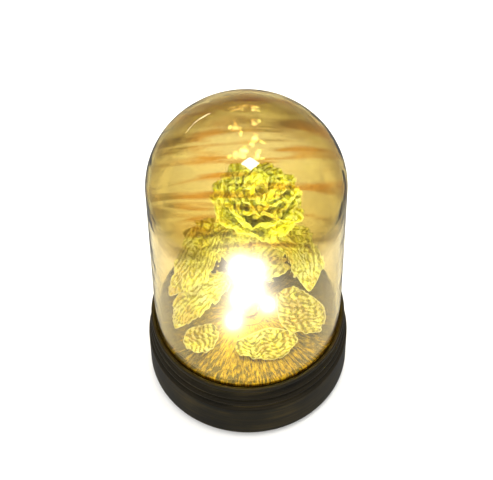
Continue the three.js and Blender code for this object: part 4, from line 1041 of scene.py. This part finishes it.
def sepal(sizes, index):
    # a pointed strap that leaves the hub level and hangs back, with folded sides
    s = SimpleNamespace(**sizes)
    along, across = sheetGrid(s.rows, s.columns)
    turn = 2 * np.pi * (index + 0.5) / s.count
    out = s.root + s.length * along
    wide = s.width / 2 * (0.12 + 0.88 * np.sin(np.pi * (0.25 + 0.75 * along)))
    fall = s.droop * along**2 + 0.12 * s.width * across**2 * along
    side = wide * across
    fall = fall + s.fold * smoothShare(0, 1, along) * np.abs(across)
    surface = np.stack(
        [
            out * np.cos(turn) - side * np.sin(turn),
            out * np.sin(turn) + side * np.cos(turn),
            hubHeight(0) - fall,
        ],
        -1,
    )
    dents = crumple(side, out, s.creases, 90 + index)
    depth = dents * smoothShare(0, 0.3, along)
    return shell(raised(surface, depth), s.film, depth)


bore, rim = petals["bore"], petals["hubRadius"]
low, high = hubHeight(0) - petals["hubThickness"] / 2, hubHeight(0) + petals["hubThickness"] / 2
hub = [[bore, low], [rim - 0.1, low], [rim, low + 0.2], [rim, high], [bore, high]]
parts = [turned(hub, petals["hubSides"]), *(sepal(sepals, index) for index in range(sepals["count"]))]
calyx = putPiece("gilt_calyx", onFlower(parts), leafFoil)
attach(calyx, "base")
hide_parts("calyx")
print("bloom made")


# Leaves: toothed and veined blades on stalks that leave the stem from collars

leafSizes = {
    "rows": 120,
    "columns": 96,
    "film": 0.4,
    "halfWidth": 13.0,
    "teeth": 5,
    "tooth": 0.2,
    "bladeStart": 0.3,
    "stalkEnd": 0.36,
    "stalkRadius": 0.9,
    "collarBore": 1.85,
    "collarRadius": 3.0,
    "collarHalf": 2.0,
    "collarInset": 0.3,
    "collarBevel": 0.4,
    "sides": (20, 36),  # of the stalk and the collar
    "stalkInside": 2.8,  # where the stalk starts, inside the collar
    "fold": 0.22,
    "crown": 0.1,
    "vein": 0.5,
    "veinWidth": 0.1,  # of the way between two veins
    "veinLean": 1.1,
    "ribWidth": 0.7,  # mm
    "ribShare": 1.6,  # of the veins' height
    "pleats": 4.0,
    "pleatDepth": 0.5,
    "creases": ((9.0, 0.2), (6.0, 0.24), (4.2, 0.24), (3.0, 0.22)),
    "reach": 48.75,
    "stand": 64.0,
    "clear": 6.4,
}
# Name, width share, height of the collar above the deck or its wanted share of the stem's, and the
# places that the rib passes: right, back and up as shares
leaves = [
    (
        "leaf_left",
        1.3,
        56.0,
        ((-0.24, 0.12, 0.99), (-0.44, 0.05, 0.86), (-0.64, -0.04, 0.64), (-0.87, -0.13, 0.36)),
    ),
    (
        "leaf_right",
        1.08,
        49.92,
        ((0.26, 0.06, 0.93), (0.49, 0.06, 0.87), (0.64, -0.02, 0.68), (0.68, -0.18, 0.46)),
    ),
    (
        "leaf_low",
        0.95,
        0.42,
        ((-0.245, -0.08, 0.515), (-0.47, -0.185, 0.485), (-0.68, -0.285, 0.33), (-0.8, -0.37, 0.14)),
    ),
    (
        "leaf_back",
        1.8,
        0.14,
        ((0.02, 0.22, 0.2), (0.06, 0.4, 0.34), (0.07, 0.58, 0.54), (0.02, 0.74, 0.82)),
    ),
]


coil = {"startAngle": 440.0, "coilStart": 7.0, "coilPitch": 7.5}  # of the LED wire, degrees and mm


def betweenTurns(side, wanted):
    # the height midway between two turns of the coil, at this side of the stem, that is nearest to wanted
    low, pitch = coil["coilStart"], coil["coilPitch"]
    offset = (math.radians(coil["startAngle"]) - side) / (2 * math.pi)
    return low + pitch * (round((wanted - low) / pitch + offset - 0.5) + 0.5 - offset)


def leafParts(sizes, order, widthShare, collarHeight, ribShares):
    # a curve through the rib's places carries the blade, as wide as a sine that saw teeth cut into and
    # folded up at the rib; veins are bell curves, pleats triangle waves. The stalk is the curve's start
    s = SimpleNamespace(**sizes)
    rib = np.array(ribShares) * [s.reach, s.reach, s.stand]
    side = math.atan2(rib[0, 1], rib[0, 0])
    if collarHeight < 1:
        collarHeight = betweenTurns(side, collarHeight * s.stand)
    leave = np.array([math.cos(side), math.sin(side), 0])
    start = leave * s.stalkInside + [0, 0, collarHeight]
    clear = leave * s.clear + [0, 0, collarHeight + s.stalkRadius / 2]
    line = np.vstack([start, clear, rib])
    along, across = sheetGrid(s.rows, s.columns)
    middle = curveThrough(line, s.bladeStart + (1 - s.bladeStart) * along[:, 0])
    ahead = unit(np.gradient(middle, axis=0))
    sideways = unit(np.cross(ahead, [0, 0, 1]))
    up = np.cross(sideways, ahead)
    saw = (along * s.teeth) % 1
    toothed = 1 - s.tooth * (1 - saw) * smoothShare(0.02, 0.1, along)
    width = s.halfWidth * widthShare * (0.05 + 0.95 * np.sin(np.pi * along)) * toothed
    lift = s.fold * np.abs(across) - s.crown * across**2
    surface = middle[:, None] + sideways[:, None] * (width * across)[..., None]
    surface = surface + up[:, None] * (width * lift)[..., None]
    veinPlace = (along * s.teeth - s.veinLean * np.abs(across) + 0.1) % 1
    veins = np.exp(-(((veinPlace - 0.5) / s.veinWidth) ** 2))
    veins = veins + s.ribShare * np.exp(-((width * across / s.ribWidth) ** 2))
    length = np.linalg.norm(np.diff(middle, axis=0), axis=1).sum()
    dents = crumple(width * across, along * length, s.creases, 200 + order)
    folds = s.pleats * np.abs(across) * (1 + 0.2 * np.sin(9 * along + order + 2 * across))
    folds = folds + 0.5 * np.sin(6 * along + 2 * order)
    strength = s.pleatDepth * (0.55 + 0.45 * np.sin(7 * along + 4 * across + 3 * order))
    pleats = strength * triangle(folds) * width / s.halfWidth
    ends = smoothShare(0, 0.12, along) * smoothShare(0, 0.12, 1 - along)
    depth = (s.vein * veins + pleats + dents) * ends
    surface = raised(surface, -depth)
    stalkLine = curveThrough(line, np.linspace(0, s.stalkEnd, 40))
    stalkRadii = s.stalkRadius * np.linspace(1, 0.6, 40)
    low = collarHeight - s.collarHalf
    ring = collar(s.collarBore, s.collarRadius, low, low + 2 * s.collarHalf, s.collarInset, s.collarBevel)
    stalkSides, collarSides = s.sides
    stalk = swept(stalkLine, stalkRadii, stalkSides, (0.1, 0.2, 1))
    parts = [shell(surface, s.film, -depth), stalk, turned(ring, collarSides)]
    return [(points + deckLift, *rest) for points, *rest in parts]


for order, (name, *ownSizes) in enumerate(leaves):
    leaf = putPiece("gilt_" + name, leafParts(leafSizes, order, *ownSizes), leafFoil)
    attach(leaf, "base")
    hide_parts(name)
print("leaves made")


# Fallen petals on the deck

fallen = {
    "rows": 72,
    "columns": 60,
    "film": 0.34,
    "length": 34.0,
    "width": 26.0,
    "cup": 5.0,
    "lip": 1.5,
    "reach": 48.75,
    "lift": 0.6,
    "lowest": 0.55,
    "ridge": 0.22,
    "ridges": 3.4,
    "creases": ((8.0, 0.2), (5.0, 0.26), (3.6, 0.32), (2.6, 0.34)),
}
fallenPetals = [  # name, length, width, cup and lip as shares, place right and back as shares, turn
    ("fallen_petal_left", (0.59, 0.69, 0.6, 0.8), (-0.51, -0.41), 215),
    ("fallen_petal_right", (0.97, 1.0, 1.0, 1.0), (0.585, -0.08), -58),
    ("fallen_petal_front", (1.0, 0.77, 0.7, 0.93), (0.2, -0.5), 12),
]


def fallenPetal(sizes, order, shares, place, turn):
    # a shallow cup, deeper along than across, whose sides roll down towards the tip
    s = SimpleNamespace(**sizes)
    length, width, cup, lip = np.array([s.length, s.width, s.cup, s.lip]) * shares
    along, across = sheetGrid(s.rows, s.columns)
    reach = 2 * along - 1
    rounding = np.sqrt(np.maximum(0.1, 1 - 0.75 * np.maximum(reach, 0) ** 3))
    half = width / 2 * petalWidth(along) * rounding
    curl = lip * smoothShare(0.6, 1, np.abs(across)) * along
    height = cup * (0.55 * reach**2 + 0.45 * across**2) - curl / 2
    x = length / 2 * reach * (1 - 0.12 * across**2)
    surface = np.stack([x, half * across, height + s.lift], -1)
    rings = np.hypot(0.7 + 0.6 * reach, 0.7 * across + 0.25 * math.sin(2 * order))
    ridges = s.ridge * np.sin(2 * np.pi * s.ridges * rings) * smoothShare(0.3, 0.9, along)
    dents = crumple(half * across, x, s.creases, 300 + order)
    depth = 0.75 * dents + ridges
    surface = raised(surface, depth)
    surface[..., 2] = np.maximum(surface[..., 2], s.lowest)
    cosine, sine = math.cos(math.radians(turn)), math.sin(math.radians(turn))
    spin = np.array([[cosine, -sine, 0], [sine, cosine, 0], [0, 0, 1]])
    lay = np.array([*place, 0]) * s.reach
    return shell(surface @ spin.T + lay + deckLift, s.film, depth)


for order, (name, *own) in enumerate(fallenPetals):
    piece = putPiece("gilt_" + name, [fallenPetal(fallen, order, *own)], fallenFoil)
    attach(piece, "base")
    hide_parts(name)
print("fallen petals made")


# LED wire: up through the deck, once round it and then up the stem, with a resin bead over each chip

wire = {
    "radius": 0.32,
    "beadRadius": 1.4,
    "beadLength": 3.4,
    "sides": 14,
    "holeBack": 9.0,
    "riseSteps": 30,
    "bendRadius": 3.0,
    "bendSteps": 16,
    "floorLoop": 11.5,
    "coilRadius": 5.0,
    "coilTurns": 4.75,
    "foot": -24.7,
    "lay": 1.7,
    **coil,
    "beadAngles": (228.4, 368.4, 530, 740, 950, 1160, 1370, 1580, 1790, 2000),
}


def wirePath(sizes):
    # straight up, a quarter of a circle into the level, then an angle that grows steadily while distance
    # and height pass smoothly from the loop on the deck to the coil's
    s = SimpleNamespace(**sizes)
    foot = s.lay - s.bendRadius
    rise = np.linspace([0, s.holeBack, s.foot], [0, s.holeBack, foot], s.riseSteps)
    arc = np.radians(np.linspace(0, 90, s.bendSteps))[1:, None]
    bent = [0, s.holeBack, foot] + s.bendRadius * np.hstack([np.cos(arc) - 1, 0 * arc, np.sin(arc)])
    near = math.hypot(s.holeBack, s.bendRadius)
    begin = math.degrees(math.atan2(s.holeBack, -s.bendRadius))
    angle = np.arange(begin + 3, s.startAngle + 360 * s.coilTurns + 0.1, 3)
    out = smoothShare(begin, 210, angle)
    inwards = smoothShare(360, s.startAngle, angle)
    radius = near + (s.floorLoop - near) * out + (s.coilRadius - s.floorLoop) * inwards
    turns = np.maximum(0, (angle - s.startAngle) / 360)
    height = s.lay + (s.coilStart - s.lay) * inwards**2 + s.coilPitch * turns
    wound = polar(radius, np.radians(angle), height)
    unwound = np.full(len(rise) + len(bent), -1e3)
    return np.vstack([rise, bent, wound]), np.concatenate([unwound, angle])


wireLine, wireAngle = wirePath(wire)
beadPlaces = np.array([wireLine[np.argmin(np.abs(wireAngle - angle))] for angle in wire["beadAngles"]])


def withBeads(sizes, line, places):
    # the path with more points in each bead, and there a radius that swells as an ellipse
    s = SimpleNamespace(**sizes)
    step = np.linalg.norm(np.diff(line, axis=0), axis=1)
    far = np.concatenate([[0], np.cumsum(step)])
    centres = [far[np.argmin(np.linalg.norm(line - place, axis=1))] for place in places]
    half = s.beadLength / 2
    extra = [centre + half * np.sin(np.linspace(-np.pi / 2, np.pi / 2, 15)) for centre in centres]
    stops = np.unique(np.round(np.concatenate([far, *extra]), 4))
    path = np.stack([np.interp(stops, far, line[:, i]) for i in range(3)], -1)
    away = np.min(np.abs(stops[:, None] - np.array(centres)), axis=1) / half
    swell = s.beadRadius * np.sqrt(np.maximum(0, 1 - away**2))
    return path, np.maximum(s.radius, swell), away < 0.98


wirePoints, wireRadii, inBead = withBeads(wire, wireLine, beadPlaces)
points, faces = swept(wirePoints + deckLift, wireRadii, wire["sides"], (0, 0.6, -0.8))
litRings = np.repeat(inBead[:-1] & inBead[1:], wire["sides"])
litFaces = np.concatenate([litRings, np.zeros(2 * wire["sides"], bool)])
copper = plain["enamelled_copper_wire"]
string = putPiece("led_wire", [(points, faces)], [copper, epoxy], lit=litFaces)
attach(string, "base")
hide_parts("led_string")
print("LED wire made")


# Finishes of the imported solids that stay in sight

black, red, nickel = plain["moulded_black_abs"], plain["red_pvc_insulation"], plain["nickel_plated_steel"]
finishes = {  # how a solid's name begins, and its material; the first that fits counts
    ("contact_", "plate_screw", "switch_screw"): nickel,
    ("bottom_plate", "battery_tray", "battery_door", "switch_"): black,
    ("series_resistor", "lead_positive", "lead_switched"): red,
    ("lead_negative",): plain["black_pvc_insulation"],
    ("rubber_foot",): plain["black_neoprene_pad"],
    ("battery_cell",): sleeve,
    ("driver_board",): mask,
    ("deck_disc",): board,
}
for name, node in nodes.items():
    finish = next((finishes[starts] for starts in finishes if name.startswith(starts)), None)
    for holder in node.material_slots if finish else ():
        holder.material = finish
print("solids finished")


# Floor and lights: pale and soft, with one small square light whose reflection is the glint on the crown

studio = {
    "floorRadius": 12.0,  # m
    "floorThickness": 2.0,  # mm
    "floorColour": "#f6f5f2",
    "world": ("#ffffff", 1.5, 0.3),  # colour, strength, and strength in what the gloss mirrors
    "flags": (0.02, 0.55, 0.8),  # heights, as sines, between which the room brightens, and its dim share
}
lamps = [  # name, place and what it faces in m, watts, colour, rays that don't meet it, turn, and its size
    ("glint", (0.09, -0.016, 1.29), (0.09, 0.884, 0.34), 6.0, "#fffdf6", (), 45, {"size": 0.27}),
    # a narrow strip whose mirror image is the thin arc on the crown's left
    (
        "strip",
        (-0.6, 0.93, 0.46),
        (-0.023, 0.009, 0.194),
        0.5,
        "#fff6d8",
        ("transmission",),
        0,
        {"shape": "RECTANGLE", "size": 0.44, "size_y": 0.02},
    ),
    ("fill", (-0.9, -1.3, 1.7), (0, 0, 0.08), 8.0, "#ffffff", ("glossy", "transmission"), 0, {"size": 1.4}),
    ("back", (0.0, 1.0, 0.9), (0, 0.25, 0), 9.0, "#ffe9bf", ("glossy", "transmission"), 0, {"size": 0.6}),
]


def paleFloor(add, place, looks):
    # a fine grain between two near whites
    grain = add("TexNoise", {"Scale": 500.0, "Detail": 2.0, "Vector": place})
    tone = add("ValToRGB", {"stops": ((0.2, "#f3f2ef"), (0.8, looks["floorColour"])), 0: grain})
    return add("BsdfPrincipled", {"Roughness": 0.9, "Base Color": tone})


edge = studio["floorRadius"] / millimetre
thick = studio["floorThickness"]
floorParts = turned([[0, 0], [edge, 0], [edge, -thick], [0, -thick]], 64)
floor = putPiece("floor", [floorParts], makeMaterial("matt_pale_card", paleFloor, studio))
floor.visible_glossy = False  # black card stands round the lamp where only its gloss would mirror the floor


def addLight(name, place, aim, power, colour, hiddenFrom, turn, size):
    # an area light that faces its aim and is turned about that line, or with no aim a small round one
    data = bpy.data.lights.new(name, "AREA" if aim else "POINT")
    data.energy, data.color = power, linearFrom(colour)[:3]
    for key, value in size.items():
        setattr(data, key, value)
    holder = bpy.data.objects.new(name, data)
    place = Vector(place)
    holder.matrix_world = Matrix.Translation(place)
    if aim:
        facing = (Vector(aim) - place).to_track_quat("-Z", "Y").to_matrix().to_4x4()
        holder.matrix_world @= facing @ Matrix.Rotation(math.radians(turn), 4, "Z")
    for ray in hiddenFrom:
        setattr(holder, "visible_" + ray, False)
    bpy.context.collection.objects.link(holder)


for lamp in lamps:
    addLight(*lamp)

glow = {
    "colour": "#eeffbc",
    "beadPower": 0.011,  # W
    "lowShare": 0.2,  # of that power for the beads on the deck
    "bloomPower": 0.115,
    "bouncePower": 0.07,
    "bouncePlaces": (  # mm, and share of the power
        (-20.0, -24.0, 172.0, 1.0),
        (0.0, -38.0, 150.0, 1.0),
        (-8.0, -14.0, 186.0, 1.0),
        (24.0, -20.0, 172.0, 1.0),
        (36.0, 2.0, 160.0, 1.0),
        (2.0, 4.0, 188.0, 1.0),
        (-30.0, -30.0, 118.0, 1.0),
        (32.0, -28.0, 118.0, 1.0),
        (-30.0, -30.0, 138.0, 1.0),
        (30.0, -30.0, 138.0, 1.0),
        (-15.0, 31.0, 58.0, 0.3),
    ),
    "bloomRings": (  # mm out, mm up, lamps, degrees
        (14.6, 10.0, 5, 20.0),
        (9.0, 12.0, 4, 70.0),
        (5.0, 17.0, 3, 0.0),
    ),
    "radius": 0.0012,  # m
    "bounceRadius": 0.008,
    "clear": 3.2,  # mm from the wire's middle out to the light of each bead
}


def addGlow(name, spot, power, radius, hiddenFrom=("camera", "transmission")):
    # a small round light at a place in millimetres
    place = np.array(spot) * millimetre
    addLight(name, place, None, power, glow["colour"], hiddenFrom, 0, {"shadow_soft_size": radius})


for index, place in enumerate(beadPlaces):
    out = np.array([*place[:2], 0])
    spot = place + deckLift + out / np.linalg.norm(out) * glow["clear"]
    power = glow["beadPower"] * (1 if place[2] > wire["coilStart"] else glow["lowShare"])
    addGlow(f"bead_{index + 1}", spot, power, glow["radius"])
# the lamps' light that the crown and the deck throw back on the flower
for index, (*spot, share) in enumerate(glow["bouncePlaces"]):
    power, hiddenFrom = glow["bouncePower"] * share, ("camera", "glossy", "transmission")
    addGlow(f"bounce_{index + 1}", spot, power, glow["bounceRadius"], hiddenFrom)
for radius, height, count, turn in glow["bloomRings"]:
    angles = np.radians(turn + 360 / count * np.arange(count))
    for index, spot in enumerate(inFlower(polar(radius, angles, height))):
        addGlow(f"bloom_{count}_{index + 1}", spot, glow["bloomPower"], glow["radius"])

world = bpy.data.worlds.new("studio")
bpy.context.scene.world = world
world.use_nodes = True
world.node_tree.nodes.clear()
add = partial(addNode, world.node_tree)
colour, whiteRoom, flagged = studio["world"]
darkest, brightest, dimShare = studio["flags"]
# black flags round the set: what the gloss mirrors is darker than the light that fills the room
ray = add("LightPath")
level = add("MapRange", {"to": (whiteRoom, flagged), "Value": (ray, "Is Glossy Ray")})
split = add("SeparateXYZ", {0: (add("TexCoord"), "Generated")})
rising = add("MapRange", {"from": (darkest, brightest), "To Min": dimShare, "Value": (split, "Z")})
strength = add("Math", {"operation": "MULTIPLY", 0: level, 1: rising})
sky = add("Background", {"Color": colour, "Strength": strength})
add("OutputWorld", {"Surface": sky})

# The picture: plain colours, and the soft glare that a lens gives round burnt-out lamps
glareSettings = {
    "glare_type": "BLOOM",
    "Threshold": 5.0,
    "Clamp Highlights": True,
    "Maximum Highlights": 6.5,
    "Strength": 16.0,
    "Size": 0.1,
    "Saturation": 0.25,
}
scene = bpy.context.scene
scene.view_settings.view_transform = "Standard"
scene.use_nodes = True
scene.node_tree.nodes.clear()
add = partial(addNode, scene.node_tree)
taken = add("CompositorNodeRLayers")
glare = add("CompositorNodeGlare", {**glareSettings, "Image": taken})
add("CompositorNodeComposite", {"Image": glare})
print("stage lit")
